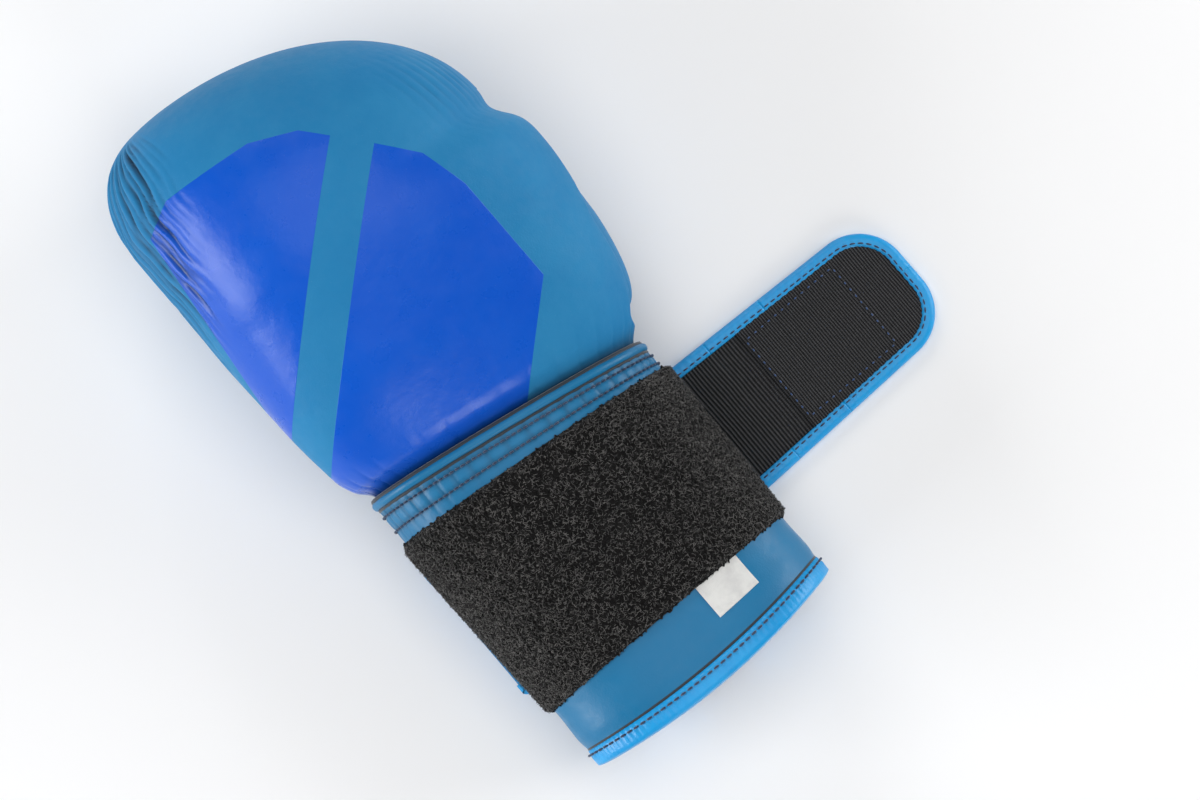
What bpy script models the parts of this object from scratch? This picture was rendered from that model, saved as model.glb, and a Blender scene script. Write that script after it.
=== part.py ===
"""A left-hand boxing glove, lying palm down with its closing strap open to the thumb side.

Frame: +Y points from the cuff to the knuckles, +X to the thumb side and +Z up, out of the back of the hand.
The origin is on the surface that the glove lies on, in the middle of the flat under the fingers.
A place along the glove is given as `along`, measured from the wrist seam towards the knuckles.
A skin's `depth` is measured inwards from the outer face of the leather, so that layers nest by depth alone.
"""

import math

import bmesh
import bpy
import numpy as np

MM = 0.001

# Driving dimensions: the whole glove
FIST_LENGTH = 183 * MM
CUFF_LENGTH = 127 * MM
WRIST_SLANT = 0.168  # the wrist seam's slope: it lies further back on the thumb's side
SLANT_FORWARD = 50 * MM  # how far the slant reaches into the fist
SLANT_BACK = 36 * MM  # and into the cuff
CUFF_BOW = 6 * MM  # how far the middle of the cuff's open end stands past its sides, about CUFF_LENGTH
REST_TO_WRIST = 105 * MM  # from the origin back to the wrist seam
FIST_HALF_WIDTH = 73 * MM
FIST_HEIGHT = 112 * MM
KNUCKLE_LEAN = 33 * MM  # the foremost point lies this far to the little-finger side
KNUCKLE_HEIGHT = 48 * MM  # and this far above the surface
REST_PRESS = 1.5 * MM  # how far the padding is pressed flat where it lies
WRIST_HALF_WIDTH = 61 * MM
WRIST_TOP = 70 * MM
WRIST_BOTTOM = 8 * MM
PALM_HOLLOW = 15 * MM  # the palm's height above the surface
CUFF_END_HALF_WIDTH = 58.5 * MM
CUFF_END_TOP = 63 * MM

# Layers
CLEARANCE = 0.3 * MM  # between pieces that touch
LEATHER = 1.2 * MM
LINING = 0.8 * MM
CUFF_FOAM = 8 * MM
THUMB_FOAM = 7 * MM
BINDING = 0.7 * MM
BINDING_WIDTH = 7 * MM
SEAM_GAP = 1.0 * MM  # between leather panels that are sewn edge to edge

# The hand's pocket
POCKET_LENGTH = 118 * MM
POCKET_LEFT = 50 * MM
POCKET_RIGHT = 33 * MM
POCKET_FLOOR = 9 * MM  # padding under the palm
POCKET_TOP = 64 * MM
GRIP_BAR_RADIUS = 8 * MM
GRIP_BAR_LENGTH = 46 * MM
GRIP_BAR_ALONG = 80 * MM

# Seams, in shares of a turn from the thumb side over the back (degrees) and along the glove
PALM_PANEL_DEGREES = (216, 324)
PALM_PANEL_END = 78 * MM
FINGER_PANEL_END = 158 * MM
WELT_RADIUS = 1.8 * MM
THREAD_RADIUS = 0.4 * MM
WELT_STITCH_ROWS = (5.0 * MM, 10.5 * MM)  # behind the welt

# The thumb
THUMB_START = 14 * MM
THUMB_TIP = 97 * MM
THUMB_HALF_WIDTH = 18.5 * MM
THUMB_HALF_HEIGHT = 21 * MM
THUMB_INNER = 45.5 * MM  # how far out the thumb's inner side is
THUMB_HEIGHT = 36 * MM
THUMB_TIP_INWARD = 6 * MM
THUMB_RUN = 0.7 * MM  # free space between the thumb and the hand's side
THUMB_LEDGE = 9.5 * MM  # how gently the hollow's roof runs out over the thumb
THUMB_DOOR = (26 * MM, 44 * MM)  # where the thumb's stall opens to the hand's pocket
TIE_WIDTH = 12 * MM
TIE_THICKNESS = 1.6 * MM

# The cuff
SLIT_WIDTH = 12 * MM
SLIT_END = 28 * MM  # from the wrist seam to the slit's closed end
CUFF_FLOOR = 6.2 * MM  # room for the strap between the cuff and the surface
PATCH_START = 15 * MM
PATCH_TO_CUFF_END = 31 * MM  # bare leather, for the label and the binding
PATCH_THICKNESS = 2.3 * MM
PATCH_DEGREES = (-22, 196)
LABEL_WIDTH = 22 * MM
LABEL_LENGTH = 14 * MM
LABEL_THICKNESS = 0.5 * MM
LABEL_OUT = 24 * MM  # its middle, out from the glove's middle

# The strap
STRAP_MIDDLE = 52.5 * MM  # behind the wrist seam
STRAP_ROOT_WIDTH = 64 * MM
STRAP_TIP_WIDTH = 55 * MM
STRAP_FOLD_X = 35 * MM  # the first fold line, under the cuff
STRAP_LENGTHS = (33 * MM, 27 * MM, 29 * MM, 42 * MM)  # its four links, from the first fold out
STRAP_TIP_RADIUS = 21 * MM
FACE = 1.0 * MM
WEBBING = 1.6 * MM
HOOK_TAPE = 0.8 * MM
HOOK_START = 60 * MM  # out from the first fold line
STRAP_FOLD_LIFT = 0.4 * MM  # each fold line lies this far above the strap's upper face

# Heights of the strap's layers above the surface
FACE_LOW = BINDING + CLEARANCE
WEBBING_LOW = FACE_LOW + FACE + CLEARANCE
STRAP_INSIDE_TOP = WEBBING_LOW + WEBBING
STRAP_TOP = STRAP_INSIDE_TOP + CLEARANCE + BINDING
FOLD_HEIGHT = STRAP_TOP + STRAP_FOLD_LIFT

# Mesh fineness
AROUND = 48  # outlines in a ring of cord
BACK_ROUNDNESS = 2.1  # superellipse exponents over and under the widest line
PALM_ROUNDNESS = 2.7
NOSE_ROUNDNESS = 2.2

MATTE_TEAL = (0.018, 0.155, 0.33)
BRIGHT_BLUE = (0.0, 0.28, 0.75)
BLACK_WEB = (0.012, 0.012, 0.013)
BLACK_LOOP = (0.010, 0.010, 0.010)
FOAM_GREY = (0.55, 0.55, 0.56)
LINING_BLUE = (0.02, 0.03, 0.05)
THREAD_NAVY = (0.004, 0.03, 0.10)
LABEL_WHITE = (0.85, 0.85, 0.83)


def clear_scene():
    for old in list(bpy.data.objects):
        bpy.data.objects.remove(old)


def material(name, colour, roughness, metallic=0.0):
    made = bpy.data.materials.new(name)
    made.use_nodes = True
    shader = made.node_tree.nodes["Principled BSDF"]
    shader.inputs["Base Color"].default_value = (*colour, 1.0)
    shader.inputs["Roughness"].default_value = roughness
    shader.inputs["Metallic"].default_value = metallic
    return made


def eased(stations, at):
    """A smooth curve through (place, value) stations, level at its two ends."""
    places = np.array([s[0] for s in stations], float)
    values = np.array([s[1] for s in stations], float)
    slopes = np.zeros(len(values))
    if len(values) > 2:
        slopes[1:-1] = (values[2:] - values[:-2]) / (places[2:] - places[:-2])
    at = min(max(at, places[0]), places[-1])
    k = min(max(int(np.searchsorted(places, at)) - 1, 0), len(places) - 2)
    span = places[k + 1] - places[k]
    u = (at - places[k]) / span
    return (
        values[k] * (1 + 2 * u) * (1 - u) ** 2
        + slopes[k] * span * u * (1 - u) ** 2
        + values[k + 1] * u * u * (3 - 2 * u)
        + slopes[k + 1] * span * u * u * (u - 1)
    )


def nose(at, start, end, power=NOSE_ROUNDNESS):
    """1 up to start, then down to 0 at end along a superellipse quarter."""
    u = min(max((at - start) / (end - start), 0.0), 1.0)
    return (1 - u**power) ** (1 / power)


def smoothstep(low, high, at):
    u = min(max((at - low) / (high - low), 0.0), 1.0)
    return u * u * (3 - 2 * u)


def ring_point(left, right, low, high, angle):
    """A point of a rounded section, with angle 0 on the thumb side and a quarter turn at the top."""
    c, s = math.cos(angle), math.sin(angle)
    power = BACK_ROUNDNESS if s >= 0 else PALM_ROUNDNESS
    half_x, half_z = (right - left) / 2, (high - low) / 2
    x = (left + right) / 2 + half_x * math.copysign(abs(c) ** (2 / power), c)
    z = (low + high) / 2 + half_z * math.copysign(abs(s) ** (2 / power), s)
    return x, z


def fist_point(along, angle):
    """A point of the fist's outer face. Its rings close at the foremost point."""
    length, half = FIST_LENGTH, FIST_HALF_WIDTH
    rise = FIST_HEIGHT - WRIST_TOP
    lefts = ((0, WRIST_HALF_WIDTH), (0.11 * length, 0.91 * half), (0.6 * length, 0.96 * half))
    rights = (
        (0, WRIST_HALF_WIDTH),
        (0.12 * length, 0.96 * half),
        (0.26 * length, 1.09 * half),
        (0.42 * length, 1.145 * half),
        (0.48 * length, 1.12 * half),
        (0.54 * length, 1.035 * half),
        (0.58 * length, 1.04 * half),
    )
    highs = (
        (0, WRIST_TOP),
        (0.08 * length, WRIST_TOP + 0.2 * rise),
        (0.28 * length, WRIST_TOP + 0.62 * rise),
        (0.6 * length, FIST_HEIGHT),
    )
    lows = (
        (0, WRIST_BOTTOM),
        (0.14 * length, PALM_HOLLOW),
        (0.27 * length, PALM_HOLLOW),
        (0.52 * length, -REST_PRESS),
    )
    front_x, front_z = -KNUCKLE_LEAN, KNUCKLE_HEIGHT
    left = front_x - (eased(lefts, along) + front_x) * nose(along, 0.76 * length, length, 2.5)
    right = front_x + (eased(rights, along) - front_x) * nose(along, 0.58 * length, length, 2.0)
    high = front_z + (eased(highs, along) - front_z) * nose(along, 0.6 * length, length)
    low = front_z + (eased(lows, along) - front_z) * nose(along, 0.74 * length, length)
    x, z = ring_point(left, right, low, high, angle)
    z = max(z, 0.0)
    return placed(along, thumb_side(along, x, z), z)


def placed(along, x, z):
    """A point of the skins in the glove's frame.

    The wrist seam slants, and its slant dies out either way. The cuff's open end is bowed.
    """
    reach = SLANT_FORWARD if along > 0 else SLANT_BACK
    slant = WRIST_SLANT * (1 - smoothstep(0, reach, abs(along)))
    bowed = CUFF_BOW * smoothstep(CUFF_LENGTH - PATCH_TO_CUFF_END, CUFF_LENGTH, -along)
    bowed *= 0.5 - (x / CUFF_END_HALF_WIDTH) ** 2
    return np.array((x, along - REST_TO_WRIST - slant * x - bowed, z))


def thumb_side(along, x, z):
    """How far out the fist's side may reach, where the thumb lies in its hollow."""
    wall = THUMB_INNER - THUMB_RUN
    ledge = THUMB_HEIGHT + THUMB_HALF_HEIGHT
    beside = smoothstep(0, THUMB_START + 5 * MM, along)
    beside *= 1 - smoothstep(THUMB_TIP + 1 * MM, THUMB_TIP + 14 * MM, along)
    under = 1 - smoothstep(ledge - 1 * MM, ledge + THUMB_LEDGE, z)
    return x + (min(x, wall) - x) * beside * under


def pocket_point(along, angle):
    """A point of the padding's inner face, round the hand's pocket, which narrows to its own closed end."""
    length = POCKET_LENGTH
    side = WRIST_HALF_WIDTH - cuff_wall()
    floor = PALM_HOLLOW + POCKET_FLOOR
    left = -eased(((0, side), (0.3 * length, POCKET_LEFT)), along)
    right = eased(((0, side), (0.16 * length, POCKET_RIGHT)), along)
    high = eased(((0, WRIST_TOP - cuff_wall()), (0.4 * length, POCKET_TOP)), along)
    lows = ((0, WRIST_BOTTOM + cuff_wall()), (0.25 * length, floor), (0.5 * length, floor))
    low = eased((*lows, (0.75 * length, 1.8 * POCKET_FLOOR)), along)
    front_x, front_z = (POCKET_RIGHT - POCKET_LEFT) / 2, (POCKET_TOP + floor) / 2
    share = nose(along, 0.7 * length, length)
    left, right = front_x + (left - front_x) * share, front_x + (right - front_x) * share
    low, high = front_z + (low - front_z) * share, front_z + (high - front_z) * share
    x, z = ring_point(left, right, low, high, angle)
    return placed(along, x, z)


def cuff_wall():
    """The cuff's leather and padding together, which is where its lining starts."""
    return LEATHER + CLEARANCE + CUFF_FOAM + CLEARANCE


def cuff_point(along, angle, depth):
    """A point of the cuff's skin; along is negative, from the wrist seam back to the open end."""
    share = min(max(-along / CUFF_LENGTH, 0.0), 1.0)
    half = eased(((0, WRIST_HALF_WIDTH), (1, CUFF_END_HALF_WIDTH)), share)
    high = eased(((0, WRIST_TOP), (1, CUFF_END_TOP)), share)
    low = WRIST_BOTTOM + (CUFF_FLOOR - WRIST_BOTTOM) * smoothstep(0, 0.12, share)
    x, z = ring_point(-half + depth, half - depth, low + depth, high - depth, angle)
    return placed(along, x, z)


def thumb_point(along, angle, depth):
    """A point of the thumb's skin, closed at its base and at its tip."""
    start, end = THUMB_START + depth, THUMB_TIP - depth
    middle = (THUMB_START + THUMB_TIP) / 2
    if along >= middle:
        share = nose(along, 0.62 * THUMB_TIP, end, 2.3)
    else:
        share = nose(-along, -(THUMB_START + 22 * MM), -start, 2.3)
    bend = smoothstep(middle, THUMB_TIP, along)
    x = THUMB_INNER + THUMB_HALF_WIDTH - bend * THUMB_TIP_INWARD
    half_x = (THUMB_HALF_WIDTH - depth) * share
    half_z = (THUMB_HALF_HEIGHT - depth) * share
    inner = max(x - half_x, THUMB_INNER + depth)
    point_x, point_z = ring_point(inner, x + half_x, THUMB_HEIGHT - half_z, THUMB_HEIGHT + half_z, angle)
    return placed(along, point_x, point_z)


def add_object(name, work, look, smooth=True):
    """Turns a bmesh into a named object in the glove's collection, with its faces pointing out."""
    bmesh.ops.recalc_face_normals(work, faces=work.faces)
    mesh = bpy.data.meshes.new(name)
    work.to_mesh(mesh)
    work.free()
    mesh.materials.append(look)
    made = bpy.data.objects.new(name, mesh)
    bpy.data.collections["boxing_glove"].objects.link(made)
    if smooth:
        mesh.shade_smooth()
        mesh.set_sharp_from_angle(angle=math.radians(40))
    return made


def skin_grid(surface, alongs, angles, *depth):
    return np.array([[surface(a, t, *depth) for t in angles] for a in alongs])


def inset(grid, depth):
    """A closed skin's grid moved inwards square to itself, so that layers keep their distance.

    The first row stays in its own plane.
    """
    down = np.gradient(grid, axis=0)
    across = np.roll(grid, -1, axis=1) - np.roll(grid, 1, axis=1)
    outward = np.cross(down, across)
    outward /= np.linalg.norm(outward, axis=2, keepdims=True) + 1e-12
    outward[1:-1] = (outward[:-2] + 2 * outward[1:-1] + outward[2:]) / 4
    outward[0, :, 1] = 0.0
    if np.ptp(grid[-1], axis=0).max() < 1e-9:
        outward[-1] = outward[-2].mean(axis=0)
    outward /= np.linalg.norm(outward, axis=2, keepdims=True)
    return grid - depth * outward


class PointPool:
    """Shares a vertex between faces that meet at the same place."""

    def __init__(self, work):
        self.work = work
        self.known = {}

    def vertex(self, place):
        key = tuple(round(float(c) * 1e7) for c in place)
        if key not in self.known:
            self.known[key] = self.work.verts.new(place)
        return self.known[key]

    def face(self, places):
        corners = []
        for place in places:
            found = self.vertex(place)
            if found not in corners:
                corners.append(found)
        if len(corners) > 2:
            self.work.faces.new(corners)

    def split_quad(self, places):
        """A four-sided face as two triangles that share the edge from its first corner to its third."""
        first, second, third, fourth = places
        self.face([first, second, third])
        self.face([first, third, fourth])


def slab(name, outer, inner, kept, look):
    """A wall between two grids of points. kept[row][column] says which cells it fills; its edges are closed.

    Every cell is split on the same diagonal, so that two slabs that face each other follow each other exactly.
    """
    work = bmesh.new()
    pool = PointPool(work)
    rows, columns = len(kept), len(kept[0])
    wraps = columns == len(outer[0])

    def filled(row, column):
        if wraps:
            column %= columns
        return 0 <= row < rows and 0 <= column < columns and kept[row][column]

    for row in range(rows):
        for column in range(columns):
            if not kept[row][column]:
                continue
            after = (column + 1) % len(outer[0])
            corners = ((row, column), (row + 1, column), (row + 1, after), (row, after))
            beyond = ((row, column - 1), (row + 1, column), (row, column + 1), (row - 1, column))
            pool.split_quad([outer[r][c] for r, c in corners])
            pool.split_quad([inner[r][c] for r, c in corners])
            for k, neighbour in enumerate(beyond):
                if filled(*neighbour):
                    continue
                low, high = corners[k], corners[(k + 1) % 4]
                if k > 1:
                    low, high = high, low
                walls = [outer[low[0]][low[1]], outer[high[0]][high[1]]]
                walls += [inner[high[0]][high[1]], inner[low[0]][low[1]]]
                pool.split_quad(walls)
    return add_object(name, work, look)


def sweep(name, rings, look, closed=False):
    """A solid through a row of matching outlines, capped at its ends unless it closes on itself."""
    work = bmesh.new()
    pool = PointPool(work)
    count = len(rings[0])
    for k in range(len(rings) if closed else len(rings) - 1):
        here, there = rings[k], rings[(k + 1) % len(rings)]
        for side in range(count):
            after = (side + 1) % count
            pool.face([here[side], here[after], there[after], there[side]])
    if not closed:
        pool.face(list(reversed(rings[0])))
        pool.face(list(rings[-1]))
    return add_object(name, work, look)


def lines(*stretches):
    """Grid lines: each stretch is (start, end, count), and the last stretch keeps its end."""
    found = []
    for start, end, count in stretches:
        found += list(np.linspace(start, end, count, endpoint=False))
    return found + [stretches[-1][1]]


def cells(alongs, angles, keep, wraps=True):
    """For each cell of the grid, what keep(middle along, middle angle in degrees) says."""
    found = []
    for row in range(len(alongs) - 1):
        middle = (alongs[row] + alongs[row + 1]) / 2
        line = []
        for column in range(len(angles) if wraps else len(angles) - 1):
            after = angles[column + 1] if column + 1 < len(angles) else angles[0] + 2 * math.pi
            line.append(bool(keep(middle, math.degrees((angles[column] + after) / 2))))
        found.append(line)
    return found


def seamed_angles():
    """Ring angles with a narrow column at each side of the palm panels, for their seams."""
    low, high = PALM_PANEL_DEGREES
    seam = math.degrees(SEAM_GAP / WRIST_HALF_WIDTH)
    door = (160, 200)
    ledge = (0, 4, 8)
    turns = [*ledge, *np.linspace(13, door[0], 13), *np.linspace(door[0], low, 5)[1:]]
    inner_low, inner_high = low + 2.5 * seam, high - 2.5 * seam
    turns += [low + seam, *np.linspace(inner_low, inner_high, 9), high - seam, high]
    turns += [*np.linspace(high, 360, 5)[1:-1]]
    return [math.radians(t) for t in turns]


def fist_alongs():
    """Rows from the wrist seam to the foremost point, with a narrow row at the palm panels' seam."""
    door_start, door_end = THUMB_DOOR
    nose_start = FINGER_PANEL_END + SEAM_GAP
    rows = lines(
        (WELT_RADIUS + CLEARANCE, door_start, 5),
        (door_start, door_end, 3),
        (door_end, PALM_PANEL_END, 4),
        (PALM_PANEL_END, PALM_PANEL_END + SEAM_GAP, 1),
        (PALM_PANEL_END + SEAM_GAP, THUMB_TIP - 3 * MM, 2),
        (THUMB_TIP - 3 * MM, THUMB_TIP + 10 * MM, 4),
        (THUMB_TIP + 10 * MM, FINGER_PANEL_END, 5),
        (FINGER_PANEL_END, nose_start, 1),
    )
    turns = np.linspace(0, math.pi / 2, 7)[1:]
    return rows + [nose_start + (FIST_LENGTH - nose_start) * math.sin(t) for t in turns]


def pocket_rows(alongs):
    """Rows of the hand's pocket that belong to the rows of the fist's skin."""
    start = PALM_PANEL_END + SEAM_GAP
    shrink = (POCKET_LENGTH - start) / (FIST_LENGTH - start)
    return [a if a <= start else start + (a - start) * shrink for a in alongs]


def in_thumb_door(along, degrees, rings_to_the_right=True):
    start, end = THUMB_DOOR
    facing = degrees > PALM_PANEL_DEGREES[1] if rings_to_the_right else 160 < degrees < 200
    return start < along < end and facing


def in_palm_window(along, degrees):
    return along < PALM_PANEL_END + SEAM_GAP and PALM_PANEL_DEGREES[0] < degrees < PALM_PANEL_DEGREES[1]


def build_fist(looks):
    alongs, angles = fist_alongs(), seamed_angles()
    low, high = PALM_PANEL_DEGREES
    seam = math.degrees(SEAM_GAP / WRIST_HALF_WIDTH)

    outer = skin_grid(fist_point, alongs, angles)
    pocket = skin_grid(pocket_point, pocket_rows(alongs), angles)

    def on_back(along, degrees):
        under = low < degrees < high and along < FINGER_PANEL_END + SEAM_GAP
        return not under and not in_thumb_door(along, degrees)

    def inside_seams(degrees, widths):
        return low + widths * seam < degrees < high - widths * seam

    def on_palm(along, degrees):
        return along < PALM_PANEL_END and inside_seams(degrees, 1)

    def on_palm_foam(along, degrees):
        return along < PALM_PANEL_END and inside_seams(degrees, 2.5)

    def on_fingers(along, degrees):
        return PALM_PANEL_END + SEAM_GAP < along < FINGER_PANEL_END and inside_seams(degrees, 1)

    def on_knuckle_foam(along, degrees):
        return not in_palm_window(along, degrees) and not in_thumb_door(along, degrees)

    def on_lining(along, degrees):
        return not in_thumb_door(along, degrees)

    inner, foam = inset(outer, LEATHER), inset(outer, LEATHER + CLEARANCE)
    slab("back_shell", outer, inner, cells(alongs, angles, on_back), looks["leather"])
    slab("palm_shell", outer, inner, cells(alongs, angles, on_palm), looks["leather"])
    slab("finger_shell", outer, inner, cells(alongs, angles, on_fingers), looks["leather"])
    slab("knuckle_foam", foam, pocket, cells(alongs, angles, on_knuckle_foam), looks["foam"])
    slab("palm_foam", foam, pocket, cells(alongs, angles, on_palm_foam), looks["foam"])
    lining = inset(pocket, CLEARANCE), inset(pocket, CLEARANCE + LINING)
    slab("hand_lining", *lining, cells(alongs, angles, on_lining), looks["lining"])


def build_grip_bar(looks):
    """The roll across the pocket that the fingers close on, seated on the pocket's lining."""
    middle_x = (POCKET_RIGHT - POCKET_LEFT) / 2
    reach = GRIP_BAR_RADIUS + CLEARANCE
    heights = []
    for shift in np.linspace(-reach, reach, 13):
        rise = math.sqrt(reach**2 - shift**2) + CLEARANCE + LINING
        for turn in np.linspace(math.pi, 2 * math.pi, 60):
            x, _, z = pocket_point(GRIP_BAR_ALONG + shift, turn)
            if abs(x - middle_x) < GRIP_BAR_LENGTH / 2:
                heights.append(z + rise)
    bpy.ops.mesh.primitive_cylinder_add(
        vertices=24,
        radius=GRIP_BAR_RADIUS,
        depth=GRIP_BAR_LENGTH,
        location=(middle_x, GRIP_BAR_ALONG - REST_TO_WRIST, max(heights)),
        rotation=(0, math.pi / 2, 0),
    )
    take_primitive("grip_bar", looks["leather"])


def take_primitive(name, look):
    """Names the primitive just added and moves it to the glove's collection."""
    made = bpy.context.object
    made.name = name
    made.data.name = name
    made.data.materials.append(look)
    for holder in list(made.users_collection):
        holder.objects.unlink(made)
    bpy.data.collections["boxing_glove"].objects.link(made)
    return made


def build_thumb(looks):
    start, tip = THUMB_START, THUMB_TIP
    door_start, door_end = THUMB_DOOR
    turns = np.linspace(0, math.pi / 2, 5)
    rows = [start + (door_start - start) * (1 - math.cos(t)) for t in turns[:-1]]
    rows += lines((door_start, door_end, 2), (door_end, 0.62 * tip, 2))
    rows += [0.62 * tip + (tip - 0.62 * tip) * math.sin(t) for t in np.linspace(0, math.pi / 2, 8)[1:]]
    angles = [math.radians(t) for t in (*np.linspace(0, 160, 9), 180, *np.linspace(200, 345, 8))]

    def rows_at(depth):
        first, last = start + depth, tip - depth
        knee = 0.62 * tip
        found = []
        for a in rows:
            if a < door_start:
                found.append(first + (a - start) * (door_start - first) / (door_start - start))
            elif a > knee:
                found.append(knee + (a - knee) * (last - knee) / (tip - knee))
            else:
                found.append(a)
        return found

    def skin(depth):
        return skin_grid(thumb_point, rows_at(depth), angles, depth)

    def keep(along, degrees):
        return not in_thumb_door(along, degrees, rings_to_the_right=False)

    kept = cells(rows, angles, keep)
    foam_low = LEATHER + CLEARANCE
    foam_high = foam_low + THUMB_FOAM
    lining_low = foam_high + CLEARANCE
    slab("thumb_shell", skin(0), skin(LEATHER), kept, looks["leather"])
    slab("thumb_foam", skin(foam_low), skin(foam_high), kept, looks["foam"])
    slab("thumb_lining", skin(lining_low), skin(lining_low + LINING), kept, looks["lining"])


def build_thumb_tie(looks):
    """The short tab that ties the thumb's tip to the fist, sewn into the fist's side seam."""
    along_mid = THUMB_TIP - 22 * MM
    low = THUMB_HEIGHT - THUMB_HALF_HEIGHT
    wall = THUMB_INNER - THUMB_RUN
    rings = []
    for k in range(5):
        share = k / 4
        x = wall + CLEARANCE + share * (THUMB_HALF_WIDTH * 0.62)
        top = low - CLEARANCE - 1.2 * MM * (1 - share)
        rings.append(
            [
                (x, along_mid - TIE_WIDTH / 2 - REST_TO_WRIST, top),
                (x, along_mid + TIE_WIDTH / 2 - REST_TO_WRIST, top),
                (x, along_mid + TIE_WIDTH / 2 - REST_TO_WRIST, top - TIE_THICKNESS),
                (x, along_mid - TIE_WIDTH / 2 - REST_TO_WRIST, top - TIE_THICKNESS),
            ]
        )
    sweep("thumb_tie", rings, looks["leather"])


def build_cuff(looks):
    back = -CUFF_LENGTH
    half_slit = math.degrees(SLIT_WIDTH / 2 / CUFF_END_HALF_WIDTH)
    slit = (270 - half_slit, 270 + half_slit)
    alongs = [back, *np.linspace(back, -SLIT_END, 6)[1:], -(WELT_RADIUS + CLEARANCE)]
    turns = [*np.linspace(0, 225, 20), *np.linspace(225, slit[0], 4)[1:], slit[1]]
    turns += [*np.linspace(slit[1], 315, 4)[1:], *np.linspace(315, 360, 5)[1:-1]]
    angles = [math.radians(t) for t in turns]

    def keep(along, degrees):
        return not (slit[0] < degrees < slit[1] and along < -SLIT_END)

    def skin(depth):
        return skin_grid(cuff_point, alongs, angles, depth)

    kept = cells(alongs, angles, keep)
    foam_low = LEATHER + CLEARANCE
    foam_high = foam_low + CUFF_FOAM
    slab("cuff_shell", skin(0), skin(LEATHER), kept, looks["leather"])
    slab("cuff_foam", skin(foam_low), skin(foam_high), kept, looks["foam"])
    slab("cuff_lining", skin(cuff_wall()), skin(cuff_wall() + LINING), kept, looks["lining"])
    build_cuff_bindings(looks, slit, angles)


def channel(width, inside):
    """A folded tape in section: (along the wall, depth) points of a channel round an edge at 0."""
    inner, outer = inside + CLEARANCE, inside + CLEARANCE + BINDING
    lip, far = -CLEARANCE, -CLEARANCE - BINDING
    return [
        (width, far), (far, far), (far, outer), (width, outer),
        (width, inner), (lip, inner), (lip, lip), (width, lip),
    ]  # fmt: skip


def build_cuff_bindings(looks, slit, angles):
    """The folded tape over the cuff's open end and, as two lengths, over the edges of its slit."""
    wall = cuff_wall() + LINING
    back = -CUFF_LENGTH
    start, end = math.radians(slit[1]), math.radians(slit[0]) + 2 * math.pi
    path = sorted(a if a >= start - 1e-6 else a + 2 * math.pi for a in angles)
    path = [a for a in path if start - 1e-6 <= a <= end + 1e-6]
    rings = [[cuff_point(back + out, a, depth) for out, depth in channel(BINDING_WIDTH, wall)] for a in path]
    sweep("cuff_binding", rings, looks["binding"])
    rows = np.linspace(back + BINDING_WIDTH + CLEARANCE, -SLIT_END - CLEARANCE, 6)
    per_mm = 1 / CUFF_END_HALF_WIDTH
    for name, edge, way in (("slit_binding_thumb_side", start, 1), ("slit_binding_finger_side", end, -1)):
        rings = [
            [
                cuff_point(row, edge + way * out * per_mm, depth)
                for out, depth in channel(BINDING_WIDTH * 0.7, wall)
            ]
            for row in rows
        ]
        sweep(name, rings, looks["binding"])


def ring_tube(name, surface, along, depth, radius, sides, look):
    """A cord laid round the glove on one of its skins."""
    rings = []
    for angle in np.linspace(0, 2 * math.pi, AROUND, endpoint=False):
        middle = surface(along, angle, depth)
        outward = surface(along, angle, depth - 1 * MM) - middle
        outward /= np.linalg.norm(outward)
        back = np.array((0.0, 1.0, 0.0))
        rings.append(
            [
                middle + radius * (math.cos(t) * outward + math.sin(t) * back)
                for t in np.linspace(0, 2 * math.pi, sides, endpoint=False)
            ]
        )
    sweep(name, rings, look, closed=True)


def build_wrist_seam(looks):
    ring_tube("wrist_welt", cuff_point, 0.0, 0.0, WELT_RADIUS, 6, looks["leather"])
    lift = -(CLEARANCE + THREAD_RADIUS)
    for name, row in zip(("welt_thread_front", "welt_thread_rear"), WELT_STITCH_ROWS):
        ring_tube(name, cuff_point, -row, lift, THREAD_RADIUS, 4, looks["thread"])


def build_patch(looks):
    """The loop tape over the back of the cuff, and the size label that comes out from under its rear edge."""
    first, last = PATCH_DEGREES
    rear = PATCH_TO_CUFF_END - CUFF_LENGTH
    alongs = lines((rear, -SLANT_BACK, 3), (-SLANT_BACK, -PATCH_START, 2))
    angles = [math.radians(t) for t in np.linspace(first, last, 25)]
    low, high = -CLEARANCE, -CLEARANCE - PATCH_THICKNESS
    kept = cells(alongs, angles, lambda along, degrees: True, wraps=False)
    outer, inner = skin_grid(cuff_point, alongs, angles, high), skin_grid(cuff_point, alongs, angles, low)
    slab("loop_patch", outer, inner, kept, looks["loop"])
    label_end = rear - CLEARANCE
    alongs = lines((label_end - LABEL_LENGTH, label_end, 2))
    middle = math.acos((LABEL_OUT / CUFF_END_HALF_WIDTH) ** (BACK_ROUNDNESS / 2))
    spread = LABEL_WIDTH / 2 / CUFF_END_HALF_WIDTH
    angles = list(np.linspace(middle - spread, middle + spread, 5))
    kept = cells(alongs, angles, lambda along, degrees: True, wraps=False)
    outer = skin_grid(cuff_point, alongs, angles, low - LABEL_THICKNESS)
    slab("size_label", outer, skin_grid(cuff_point, alongs, angles, low), kept, looks["label"])


def strap_half_width(out):
    """Half the strap's width at a distance out from its first fold line."""
    share = min(max(out / sum(STRAP_LENGTHS), 0.0), 1.0)
    return (STRAP_ROOT_WIDTH + (STRAP_TIP_WIDTH - STRAP_ROOT_WIDTH) * share) / 2


def strap_y():
    return -REST_TO_WRIST - STRAP_MIDDLE


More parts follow.
